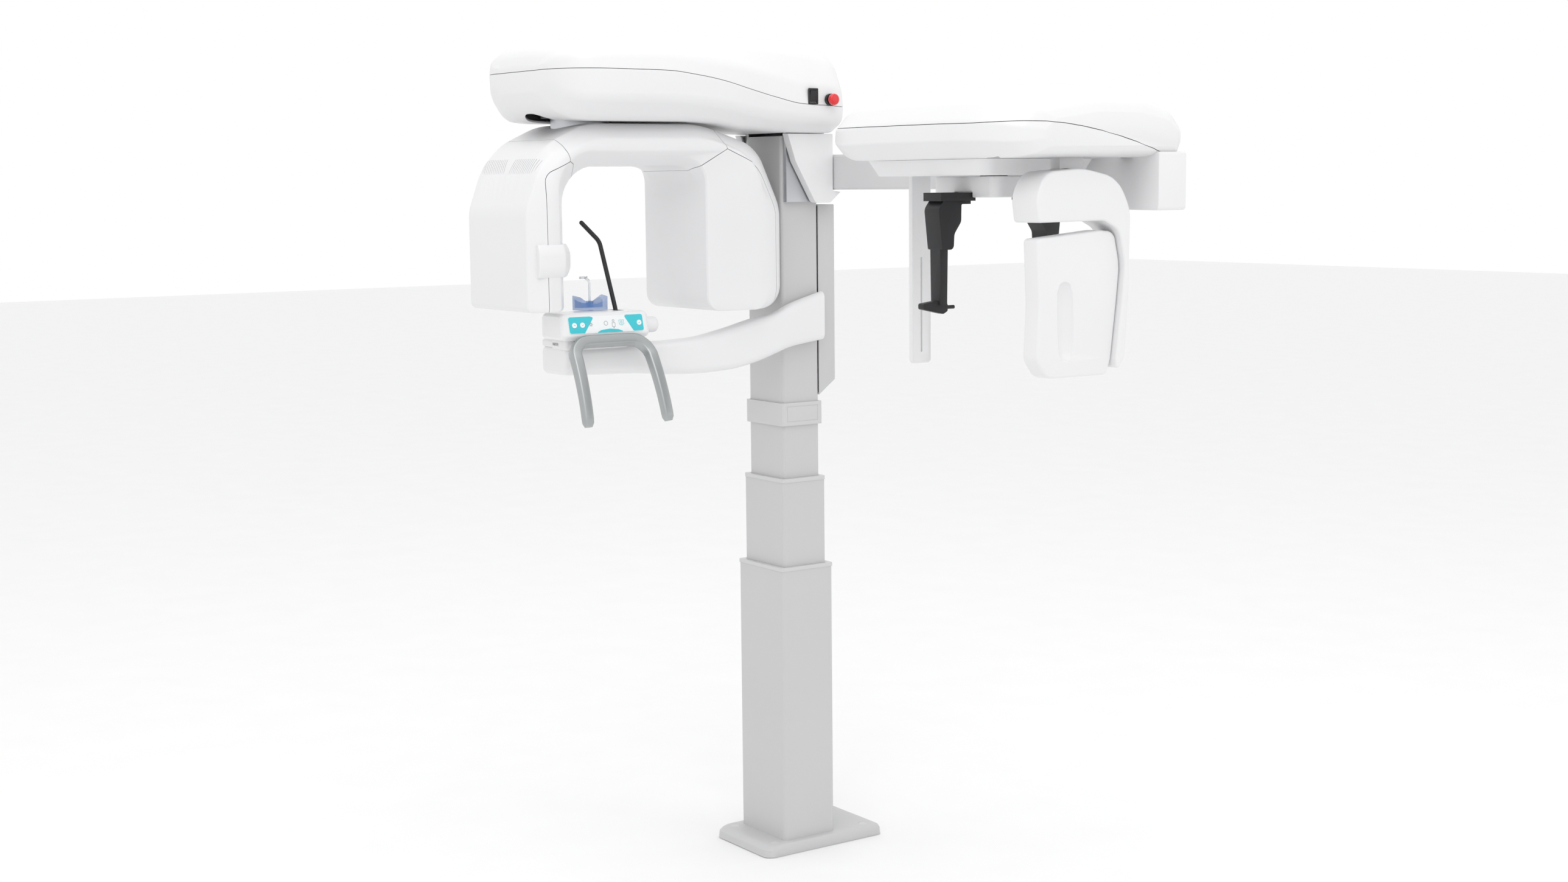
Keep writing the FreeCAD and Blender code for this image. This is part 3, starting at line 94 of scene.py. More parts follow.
class Slot(str, Enum):
    """The material slot names that are passed along with each piece."""

    PAINT = "white_paint"
    WHITE = "white_plastic"
    FILM = "panel_film"
    BUTTON = "button_white"
    ALLOY = "handle_alloy"
    BLUE = "blue_clear"
    CLEAR = "clear_plastic"
    BLACK = "black_plastic"
    RED = "red_plastic"


class Plane(Enum):
    """The plane an outline is drawn on; the third axis is the one it is pushed along."""

    XY = (0, 1, 2)
    XZ = (0, 2, 1)
    YZ = (1, 2, 0)

    def at(self, u: float, v: float, w: float) -> Vector:
        """The point with in-plane places u, v and place w along the third axis.

        Args:
            u: Place along the first in-plane axis.
            v: Place along the second.
            w: Place along the axis across the plane.

        Returns:
            The point.
        """
        point = Vector((0.0, 0.0, 0.0))
        point[self.value[0]], point[self.value[1]], point[self.value[2]] = u, v, w
        return point


# ------------------------------------------------------------------ shader graphs
class Sock:
    """An output socket of a shader graph that takes part in arithmetic."""

    def __init__(self, graph: "Graph", socket: bpy.types.NodeSocket) -> None:
        """Wrap a socket of a graph."""
        self.graph = graph
        self.socket = socket

    def _math(self, operation: str, left: Number, right: Number = 0.0) -> "Sock":
        """One Math node over two values."""
        return self.graph.add("ShaderNodeMath", {"operation": operation}, {0: left, 1: right})

    def __add__(self, other: Number) -> "Sock":
        """Sum."""
        return self._math("ADD", self, other)

    def __radd__(self, other: Number) -> "Sock":
        """Sum with a plain number on the left."""
        return self._math("ADD", other, self)

    def __sub__(self, other: Number) -> "Sock":
        """Difference."""
        return self._math("SUBTRACT", self, other)

    def __rsub__(self, other: Number) -> "Sock":
        """Difference from a plain number."""
        return self._math("SUBTRACT", other, self)

    def __mul__(self, other: Number) -> "Sock":
        """Product."""
        return self._math("MULTIPLY", self, other)

    def __rmul__(self, other: Number) -> "Sock":
        """Product with a plain number on the left."""
        return self._math("MULTIPLY", other, self)

    def __pow__(self, other: Number) -> "Sock":
        """Power."""
        return self._math("POWER", self, other)


class Graph:
    """The node tree of one material."""

    def __init__(self, name: str) -> None:
        """Start a material that holds only its shader and output.

        Args:
            name: The material's name.
        """
        self.material = bpy.data.materials.new(name)
        self.material.use_nodes = True
        self.tree = self.material.node_tree
        self.shader = self.tree.nodes["Principled BSDF"]

    def add(self, kind: str, settings: dict, sockets: dict, output: Union[int, str] = 0) -> Sock:
        """Add a node of any kind.

        Args:
            kind: Node type, such as ShaderNodeTexNoise.
            settings: Node properties, or "stops" for a ramp's (place, colour) pairs.
            sockets: Input name or number to a value or a Sock.
            output: Name or number of the output to return.

        Returns:
            The chosen output.
        """
        node = self.tree.nodes.new(kind)
        for key, value in settings.items():
            if key == "stops":
                ramp = node.color_ramp
                while len(ramp.elements) < len(value):
                    ramp.elements.new(0.5)
                for element, (place, colour) in zip(ramp.elements, value):
                    element.position = place
                    element.color = (*colour, 1.0)
            else:
                setattr(node, key, value)
        for key, value in sockets.items():
            self.join(node.inputs[key], value)
        return Sock(self, node.outputs[output])

    def join(self, socket: bpy.types.NodeSocket, value: Union[Number, Sequence[float]]) -> None:
        """Link a Sock to an input, or set the input's own value.

        Args:
            socket: The input.
            value: What it gets.
        """
        if isinstance(value, Sock):
            self.tree.links.new(value.socket, socket)
        else:
            socket.default_value = value

    def feed(self, **values: Union[Number, Sequence[float]]) -> None:
        """Set or link the shader's inputs; an underscore stands for a space in a name."""
        for key, value in values.items():
            self.join(self.shader.inputs[key.replace("_", " ")], value)

    def place(self) -> Sock:
        """Positions in the object's own frame, which is the model's frame."""
        return self.add("ShaderNodeTexCoord", {}, {}, "Object")

    def noise(self, scale: float, detail: float = 2.0, where: Union[Sock, None] = None) -> Sock:
        """Soft noise from 0 to 1, at a number of features per metre."""
        sockets = {"Vector": where or self.place(), "Scale": scale, "Detail": detail}
        return self.add("ShaderNodeTexNoise", {}, sockets)

    def mix(self, share: Number, low: Sequence[float], high: Sequence[float]) -> Sock:
        """A colour between two colours."""
        return self.add("ShaderNodeMix", {"data_type": "RGBA"}, {0: share, 6: (*low, 1.0), 7: (*high, 1.0)},
                        2)

    def bump(self, height: Sock, strength: float, distance: float) -> Sock:
        """A normal that is tilted by a height."""
        return self.add("ShaderNodeBump", {}, {"Strength": strength, "Distance": distance, "Height": height})


@dataclass(frozen=True)
class Finish:
    """A surface finish that paints one material."""

    name: str
    color: tuple[float, float, float]
    roughness: float = 0.4

    def paint(self) -> bpy.types.Material:
        """The finished material, made once and then shared.

        Returns:
            The material.
        """
        found = bpy.data.materials.get(self.name)
        if found:
            return found
        graph = Graph(self.name)
        self.dress(graph)
        return graph.material

    def shade(self, amount: float) -> tuple[float, float, float]:
        """The finish's colour made lighter or darker."""
        return tuple(min(1.0, max(0.0, part * amount)) for part in self.color)

    def dress(self, graph: Graph) -> None:
        """Fill the graph; each kind of finish has its own."""
        raise NotImplementedError


@dataclass(frozen=True)
class Moulded(Finish):
    """Moulded or lacquered plastic: a fine orange-peel skin with a soft sheen."""

    peel: float = 420.0
    relief: float = 0.10
    coat: float = 0.15

    def dress(self, graph: Graph) -> None:
        """Fine skin, slow colour drift and slightly uneven gloss.

        Args:
            graph: The node tree to fill.
        """
        skin = graph.noise(self.peel, 3.0)
        drift = graph.noise(5.0, 2.0)
        graph.feed(Base_Color=graph.mix(drift, self.shade(0.975), self.shade(1.01)),
                   Roughness=self.roughness - 0.05 + graph.noise(38.0, 3.0) * 0.10,
                   Normal=graph.bump(skin, self.relief, 0.0004))
        graph.feed(Coat_Weight=self.coat, Coat_Roughness=0.22)


@dataclass(frozen=True)
class PowderCoat(Finish):
    """Powder-coated metal: a pebbled skin with duller hollows."""

    pebble: float = 900.0

    def dress(self, graph: Graph) -> None:
        """Pebbles in relief, with a little colour and gloss change between them.

        Args:
            graph: The node tree to fill.
        """
        pebbles = graph.noise(self.pebble, 2.0)
        broad = graph.noise(3.5, 2.0)
        graph.feed(Base_Color=graph.mix(broad * 0.7 + pebbles * 0.3, self.shade(0.96), self.shade(1.02)),
                   Roughness=self.roughness + pebbles * 0.12,
                   Normal=graph.bump(pebbles, 0.16, 0.0004))


@dataclass(frozen=True)
class Metal(Finish):
    """Bare metal with grain drawn out along one axis."""

    grain: tuple[float, float, float] = (1.0, 1.0, 1.0)
    scale: float = 160.0

    def dress(self, graph: Graph) -> None:
        """Stretched grain that changes colour, gloss and relief.

        Args:
            graph: The node tree to fill.
        """
        drawn = {0: graph.place(), 1: self.grain}
        stretched = graph.add("ShaderNodeVectorMath", {"operation": "MULTIPLY"}, drawn)
        grain = graph.noise(self.scale, 4.0, stretched)
        cloud = graph.noise(9.0, 3.0)
        graph.feed(Base_Color=graph.mix(grain * 0.5 + cloud * 0.5, self.shade(0.82), self.shade(1.12)),
                   Roughness=self.roughness - 0.08 + grain * 0.18,
                   Normal=graph.bump(grain, 0.12, 0.0003))
        graph.feed(Metallic=1.0)


@dataclass(frozen=True)
class Clear(Finish):
    """Clear moulded plastic with faint flow marks."""

    density: float = 0.0

    def dress(self, graph: Graph) -> None:
        """Transparent body with a slow ripple in its skin.

        Args:
            graph: The node tree to fill.
        """
        ripple = graph.noise(60.0, 2.0)
        graph.feed(Base_Color=graph.mix(ripple, self.shade(0.92), self.shade(1.05)),
                   Roughness=0.03 + ripple * 0.05, Normal=graph.bump(ripple, 0.08, 0.0005))
        graph.feed(Transmission_Weight=0.95 - self.density, IOR=1.49, Coat_Weight=0.3)


@dataclass(frozen=True)
class Film(Finish):
    """Printed polyester film with a very fine tooth."""

    def dress(self, graph: Graph) -> None:
        """A fine tooth and a faint unevenness in the ink.

        Args:
            graph: The node tree to fill.
        """
        tooth = graph.noise(2400.0, 2.0)
        ink = graph.noise(120.0, 3.0)
        graph.feed(Base_Color=graph.mix(ink, self.shade(0.96), self.shade(1.03)),
                   Roughness=self.roughness + tooth * 0.08, Normal=graph.bump(tooth, 0.1, 0.0001))


WHITE = Moulded("white_shell", (0.80, 0.80, 0.808), 0.40)
WHITE_SMOOTH = Moulded("white_gloss_shell", (0.82, 0.82, 0.828), 0.30, peel=260.0, relief=0.05, coat=0.3)
COLUMN_COAT = PowderCoat("column_coat", (0.57, 0.568, 0.572), 0.42)
BASE_COAT = PowderCoat("base_coat", (0.56, 0.56, 0.566), 0.46)
COLLAR = Moulded("collar_plastic", (0.60, 0.598, 0.602), 0.42)
COLUMN_PLASTIC = Moulded("column_plastic", (0.59, 0.588, 0.592), 0.42)
BEAM_COAT = PowderCoat("beam_coat", (0.66, 0.66, 0.668), 0.42)
CAP_GREY = Moulded("cap_grey", (0.60, 0.60, 0.61), 0.5)
HANDLE = Metal("handle_alloy", (0.27, 0.28, 0.275), 0.25, (1.0, 1.0, 0.12), 380.0)
STEEL = Metal("machined_steel", (0.55, 0.56, 0.58), 0.30, (1.0, 1.0, 18.0), 60.0)
CAST = Metal("cast_alloy", (0.52, 0.53, 0.55), 0.52, (1.0, 1.0, 1.0), 240.0)
BLACK = Moulded("black_matt", (0.012, 0.012, 0.014), 0.48, peel=700.0, relief=0.14, coat=0.0)
MOTOR = PowderCoat("motor_enamel", (0.035, 0.036, 0.04), 0.42)
RED = Moulded("stop_red", (0.72, 0.012, 0.018), 0.24, peel=300.0, relief=0.04, coat=0.5)
BLUE_CLEAR = Clear("blue_clear", (0.09, 0.25, 0.74), 0.05, 0.05)
CLEAR = Clear("water_clear", (0.90, 0.93, 0.96), 0.05, 0.30)
FILM_WHITE = Film("film_white", (0.86, 0.88, 0.89), 0.30)
TURQUOISE = Film("film_turquoise", (0.055, 0.56, 0.64), 0.32)
PRINT_GREY = Film("film_print_grey", (0.30, 0.31, 0.33), 0.40)
BUTTON = Moulded("button_white", (0.86, 0.89, 0.90), 0.28)
FLOOR = Moulded("pale_floor", (0.90, 0.90, 0.90), 0.75, peel=60.0, relief=0.02, coat=0.0)


# ------------------------------------------------------------------ shapes
def span(*nodes: str) -> tuple[Vector, Vector]:
    """Lowest and highest corner, in millimetres, of some CAD nodes together.

    Args:
        nodes: Names of CAD nodes.

    Returns:
        The two corners.
    """
    boxes = [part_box(node) for node in nodes]
    low = Vector([min(b[0][axis] for b in boxes) for axis in range(3)])
    high = Vector([max(b[1][axis] for b in boxes) for axis in range(3)])
    return low / MM, high / MM


def between(knots: Sequence[tuple[float, ...]], place: float) -> list[float]:
    """Values at a place in a table of (place, value, value...), joined by smooth monotone curves.

    Args:
        knots: Rows in rising order of place.
        place: Where to read the table; it is held at the ends.

    Returns:
        One number for each value column.
    """
    if place <= knots[0][0]:
        return list(knots[0][1:])
    if place >= knots[-1][0]:
        return list(knots[-1][1:])
    index = max(i for i in range(len(knots) - 1) if knots[i][0] <= place)
    gap = knots[index + 1][0] - knots[index][0]
    share = (place - knots[index][0]) / gap
    found = []
    for column in range(1, len(knots[0])):
        rise = [(high[column] - low[column]) / (high[0] - low[0]) for low, high in zip(knots, knots[1:])]
        slopes = [rise[0]]
        for i in range(1, len(knots) - 1):
            steady = rise[i - 1] * rise[i] > 0
            slopes.append(2 * rise[i - 1] * rise[i] / (rise[i - 1] + rise[i]) if steady else 0.0)
        slopes.append(rise[-1])
        a, b = knots[index][column], knots[index + 1][column]
        m, n = slopes[index] * gap, slopes[index + 1] * gap
        t2, t3 = share * share, share ** 3
        found.append((2 * t3 - 3 * t2 + 1) * a + (t3 - 2 * t2 + share) * m
                     + (-2 * t3 + 3 * t2) * b + (t3 - t2) * n)
    return found


def quarter(count: int) -> list[float]:
    """Angles over a quarter turn in a number of equal steps, both ends included."""
    return [math.pi / 2 * step / count for step in range(count + 1)]


def steps_to(first: float, last: float, count: int) -> list[float]:
    """Evenly spaced places after the first, up to and with the last."""
    return [first + (last - first) * step / count for step in range(1, count + 1)]


def pulled_in(distance: float, radius: float) -> float:
    """How far a side comes in at a distance from an end whose corners are rounded in plan."""
    inside = max(0.0, radius - distance)
    return radius - math.sqrt(max(0.0, radius * radius - inside ** 2))


def circle(u: float, v: float, radius: float, count: int = 20) -> list[Spot]:
    """A closed line round a centre."""
    turns = [math.tau * i / count for i in range(count + 1)]
    return [(u + radius * math.cos(a), v + radius * math.sin(a)) for a in turns]


def rounded(corners: Sequence[Corner], steps: int = 7) -> Ring:
    """A closed flat outline with every corner turned by an arc.

    Args:
        corners: (u, v, radius) in order; a radius is held to what its two sides allow.
        steps: Segments in each arc.

    Returns:
        steps + 1 points for each corner.
    """
    points = [Vector((u, v)) for u, v, _ in corners]
    count = len(points)
    ring: Ring = []
    for i, (_, _, radius) in enumerate(corners):
        here, before, after = points[i], points[i - 1], points[(i + 1) % count]
        back, on = (before - here), (after - here)
        half = back.angle(on) / 2
        reach = min(radius / math.tan(half), back.length * 0.49, on.length * 0.49)
        radius = reach * math.tan(half)
        start, stop = here + back.normalized() * reach, here + on.normalized() * reach
        middle = here + (back.normalized() + on.normalized()).normalized() * (radius / math.sin(half))
        first, last = start - middle, stop - middle
        turn = first.angle_signed(last, 0.0) if radius > 1e-6 else 0.0
        for step in range(steps + 1):
            ring.append(middle + Matrix.Rotation(-turn * step / steps, 2) @ first)
    return ring


def oblong(low: Sequence[float], high: Sequence[float], *radii: float, steps: int = 7) -> Ring:
    """A rectangle between two corners, with its own corners rounded.

    Args:
        low: Lowest corner.
        high: Highest corner.
        steps: Segments in each arc.
        radii: One radius for all corners, or four from the lowest corner on.

    Returns:
        The closed outline.
    """
    places = ((low[0], low[1]), (high[0], low[1]), (high[0], high[1]), (low[0], high[1]))
    each = radii if len(radii) > 1 else radii * 4
    return rounded([(u, v, radius) for (u, v), radius in zip(places, each)], steps)


def inset(ring: Ring, amount: float) -> Ring:
    """A flat outline moved inwards by an amount, point by point along its own normals.

    Args:
        ring: The outline.
        amount: How far it moves, in millimetres.

    Returns:
        As many points, moved.
    """
    count = len(ring)
    area = sum(ring[i - 1].x * ring[i].y - ring[i].x * ring[i - 1].y for i in range(count))
    side = 1.0 if area > 0 else -1.0
    moved: Ring = []
    for i, point in enumerate(ring):
        back, on = i - 1, (i + 1) % count
        while (ring[back] - point).length < 1e-4:
            back -= 1
        while (ring[on] - point).length < 1e-4:
            on = (on + 1) % count
        first, second = (point - ring[back]).normalized(), (ring[on] - point).normalized()
        normal = Vector((-first.y - second.y, first.x + second.x)) * side
        scale = amount / max(0.35, normal.length / 2)
        moved.append(point + normal.normalized() * scale)
    return moved


def skin(rings: Sequence[Sequence[Vector]], cap: bool = True) -> bmesh.types.BMesh:
    """A closed surface through rings of points in millimetres, each with the same number of points.

    Args:
        rings: The rings, from one end to the other.
        cap: Whether both ends are closed.

    Returns:
        The surface, in metres.
    """
    mesh = bmesh.new()
    rows = [[mesh.verts.new(point * MM) for point in ring] for ring in rings]
    count = len(rows[0])
    for low, high in zip(rows, rows[1:]):
        for i in range(count):
            j = (i + 1) % count
            mesh.faces.new((low[i], low[j], high[j], high[i]))
    if cap:
        mesh.faces.new(list(reversed(rows[0])))
        mesh.faces.new(rows[-1])
    bmesh.ops.remove_doubles(mesh, verts=mesh.verts, dist=1e-6)
    bmesh.ops.dissolve_degenerate(mesh, edges=mesh.edges, dist=1e-6)
    bmesh.ops.recalc_face_normals(mesh, faces=mesh.faces)
    return mesh


def prism(plane: Plane, ring: Ring, low: float, high: float,
          soft: float = 0.0, steps: int = 4) -> bmesh.types.BMesh:
    """An outline pushed along the third axis, with both rims rounded by a radius.

    Args:
        plane: Plane of the outline.
        ring: The outline.
        low: Lower end.
        high: Upper end.
        soft: Radius of both rims.
        steps: Segments across a rim.

    Returns:
        The closed solid.
    """
    levels = [(low, 0.0), (high, 0.0)]
    if soft > 0:
        turns = quarter(steps)
        levels = [(low + soft - soft * math.cos(a), soft - soft * math.sin(a)) for a in turns]
        levels += [(high - soft + soft * math.sin(a), soft - soft * math.cos(a)) for a in turns]
    rings = []
    for level, amount in levels:
        flat = inset(ring, amount) if amount > 1e-6 else ring
        rings.append([plane.at(p.x, p.y, level) for p in flat])
    return skin(rings)


def block(low: Sequence[float], high: Sequence[float], soft: float) -> bmesh.types.BMesh:
    """A box between two corners in millimetres, with every edge rounded."""
    return prism(Plane.XY, oblong(low, high, soft * 1.4, steps=5), low[2], high[2], soft)


def turned(profile: Sequence[Spot], centre: Vector, axis: Vector, sides: int = 48) -> bmesh.types.BMesh:
    """A solid of revolution from (radius, distance along the axis) pairs.

    Args:
        profile: Radius and distance pairs.
        centre: Where distance is zero.
        axis: The way the distances run.
        sides: Segments round the axis.

    Returns:
        The closed solid.
    """
    frame = axis.to_track_quat("Z", "Y").to_matrix()
    turns = [math.tau * i / sides for i in range(sides)]
    return skin([[centre + frame @ Vector((radius * math.cos(a), radius * math.sin(a), along)) for a in turns]
                 for radius, along in profile])


def bore(radius: float, low: float, high: float, centre: Vector, axis: Vector,
         sides: int = 48) -> bmesh.types.BMesh:
    """A round cutter between two distances along an axis."""
    return turned([(radius, low), (radius, high)], centre, axis, sides)


class Piece:
    """A visible piece: a mesh that is dressed, placed and tied to a body."""

    def __init__(self, name: str, mesh: bmesh.types.BMesh, finish: Finish, sharp: float = 34.0) -> None:
        """Make the object.

        Args:
            name: The object's name.
            mesh: Its surface, in metres.
            finish: What it is finished in.
            sharp: Edges that turn by more than this many degrees stay crisp.
        """
        data = bpy.data.meshes.new(name)
        mesh.to_mesh(data)
        mesh.free()
        self.object = bpy.data.objects.new(name, data)
        bpy.context.scene.collection.objects.link(self.object)
        data.materials.append(finish.paint())
        self.sharp = sharp

    def apply(self, kind: str, **settings: object) -> "Piece":
        """Add one modifier and apply it at once.

        Args:
            kind: The modifier's type.
            settings: The modifier's properties.

        Returns:
            The piece.
        """
        modifier = self.object.modifiers.new(kind.lower(), kind)
        for key, value in settings.items():
            setattr(modifier, key, value)
        context = bpy.context.evaluated_depsgraph_get()
        old = self.object.data
        fresh = bpy.data.meshes.new_from_object(self.object.evaluated_get(context), depsgraph=context)
        self.object.modifiers.clear()
        self.object.data = fresh
        bpy.data.meshes.remove(old)
        return self

    def without(self, *cutters: bmesh.types.BMesh) -> "Piece":
        """Cut other solids away."""
        return self._combine("DIFFERENCE", cutters)

    def within(self, *limits: bmesh.types.BMesh) -> "Piece":
        """Keep only what lies inside other solids."""
        return self._combine("INTERSECT", limits)

    def _combine(self, operation: str, tools: Iterable[bmesh.types.BMesh]) -> "Piece":
        """Apply an exact boolean for each tool.

        Args:
            operation: DIFFERENCE or INTERSECT.
            tools: The other solids, which are used up.

        Returns:
            The piece.
        """
        for mesh in tools:
            data = bpy.data.meshes.new("cutter")
            mesh.to_mesh(data)
            mesh.free()
            tool = bpy.data.objects.new("cutter", data)
            bpy.context.scene.collection.objects.link(tool)
            bpy.context.view_layer.update()
            self.apply("BOOLEAN", operation=operation, object=tool, solver="EXACT")
            bpy.data.objects.remove(tool)
            bpy.data.meshes.remove(data)
        return self

    def hollow(self, wall: float) -> "Piece":
        """Turn the solid into a closed shell with a wall inside its skin."""
        return self.apply("SOLIDIFY", thickness=wall * MM, offset=-1.0)

    def cored(self, core: bmesh.types.BMesh) -> "Piece":
        """Take a copy of a core out of the solid, which leaves a shell."""
        return self.without(core.copy())

    def ride(self, body: Body, slot: Slot, *nodes: str) -> "Piece":
        """Finish the shading, tie the piece to a body and hide the CAD nodes it stands for.

        Args:
            body: The body it moves with.
            slot: Not used.
            nodes: CAD nodes it replaces.

        Returns:
            The piece.
        """
        data = self.object.data
        data.polygons.foreach_set("use_smooth", [True] * len(data.polygons))
        data.set_sharp_from_angle(angle=math.radians(self.sharp))
        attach(self.object, body.value)
        if nodes:
            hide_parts(*nodes)
        LOG.info("%s: %d faces on %s", self.object.name, len(data.polygons), body.value)
        return self


def softened(node: str, name: str, finish: Finish, width: float, segments: int = 3) -> Piece:
    """A copy of a CAD node's solid with its edges rounded over.

    Args:
        node: The CAD node.
        name: Name of the new piece.
        finish: What it is finished in.
        width: Width of the rounding, in millimetres.
        segments: Steps across it.

    Returns:
        The new piece, not yet riding on a body.
    """
    mesh = bmesh.new()
    mesh.from_mesh(bpy.data.objects[node].data)
    bmesh.ops.remove_doubles(mesh, verts=mesh.verts, dist=1e-5)
    bmesh.ops.dissolve_limit(mesh, angle_limit=math.radians(1.5), verts=mesh.verts, edges=mesh.edges)
    piece = Piece(name, mesh, finish)
    return piece.apply("BEVEL", width=width * MM, segments=segments, limit_method="ANGLE",
                       angle_limit=math.radians(28), use_clamp_overlap=True, harden_normals=False)


def dress_nodes(finish: Finish, *nodes: str) -> None:
    """Give CAD nodes that stay visible their finish.

    Args:
        finish: The finish.
        nodes: The CAD nodes.
    """
    for node in nodes:
        for entry in bpy.data.objects[node].material_slots:
            entry.material = finish.paint()


def soften_nodes(*rows: tuple[str, str, Finish, float, Body, Slot]) -> None:
    """Stand softened copies in for CAD nodes.

    Args:
        rows: Node, name of the piece, finish, width of the rounding in millimetres, body and slot.
    """
    for node, name, finish, width, body, slot in rows:
        softened(node, name, finish, width).ride(body, slot, node)


# ------------------------------------------------------------------ sub-assemblies
@dataclass
class Foundation:
    """Floor plate, its caps and the column's stages."""

    draft_front: float = 19.0
    draft_side: float = 7.0
    radii: tuple[float, ...] = (26.0, 26.0, 8.0, 8.0)
    # height and share of the full draft at each ring of the plate
    rim: tuple[tuple[float, float], ...] = (
        (0.0, 0.12), (1.5, 0.0), (19.0, 0.12), (26.5, 0.55), (29.0, 0.88), (30.0, 1.12))
    cap_radius: float = 12.0

    def build(self) -> None:
        """Plate with soft rims and holes for its caps; the tubes keep their CAD shapes."""
        low, high = span("floor_base_plate")
        outline = oblong(low.xy, high.xy, *self.radii, steps=8)
        rings = [[self.drafted(p, level, share) for p in outline] for level, share in self.rim]
        plate = Piece("base_plate", skin(rings), BASE_COAT)
        caps_low, caps_high = span("base_bolt_caps")
        for x in (caps_low.x + self.cap_radius, caps_high.x - self.cap_radius):
            for y in (caps_low.y + self.cap_radius, caps_high.y - self.cap_radius):
                plate.without(bore(self.cap_radius + 0.1, 20, 40, Vector((x, y, 0)), Z_AXIS, 36))
        plate.without(block((-40, high.y - 123, -5), (40, high.y - 111, 40), 2.0))
        plate.ride(Body.BASE, Slot.PAINT, "floor_base_plate")
        dress_nodes(CAP_GREY, "base_bolt_caps")
        dress_nodes(COLUMN_COAT, "column_lower_tube", "column_middle_tube", "column_upper_tube")
        dress_nodes(STEEL, "lift_screw", "hollow_lift_screw", "upper_nut_plate")
        dress_nodes(MOTOR, "lift_motor")
        soften_nodes(
            ("lower_guide_collar", "lower_collar", COLLAR, 1.6, Body.BASE, Slot.WHITE),
            ("middle_guide_collar", "middle_collar", COLLAR, 1.6, Body.MIDDLE, Slot.WHITE),
            ("column_collar", "upper_collar", COLUMN_PLASTIC, 1.2, Body.CARRIAGE, Slot.WHITE),
            ("column_rear_cover", "rear_cover", COLUMN_COAT, 3.0, Body.CARRIAGE, Slot.PAINT))

    def drafted(self, point: Vector, level: float, share: float) -> Vector:
        """A point of the plate's outline at a height, drawn in by a share of the draft.

        Args:
            point: The point.
            level: Its height.
            share: Share of the full draft.

        Returns:
            The placed point.
        """
        front = self.draft_front if point.y < 0 else self.draft_side
        return Vector((point.x - math.copysign(self.draft_side * share, point.x),
                       point.y - math.copysign(front * share, point.y), level))


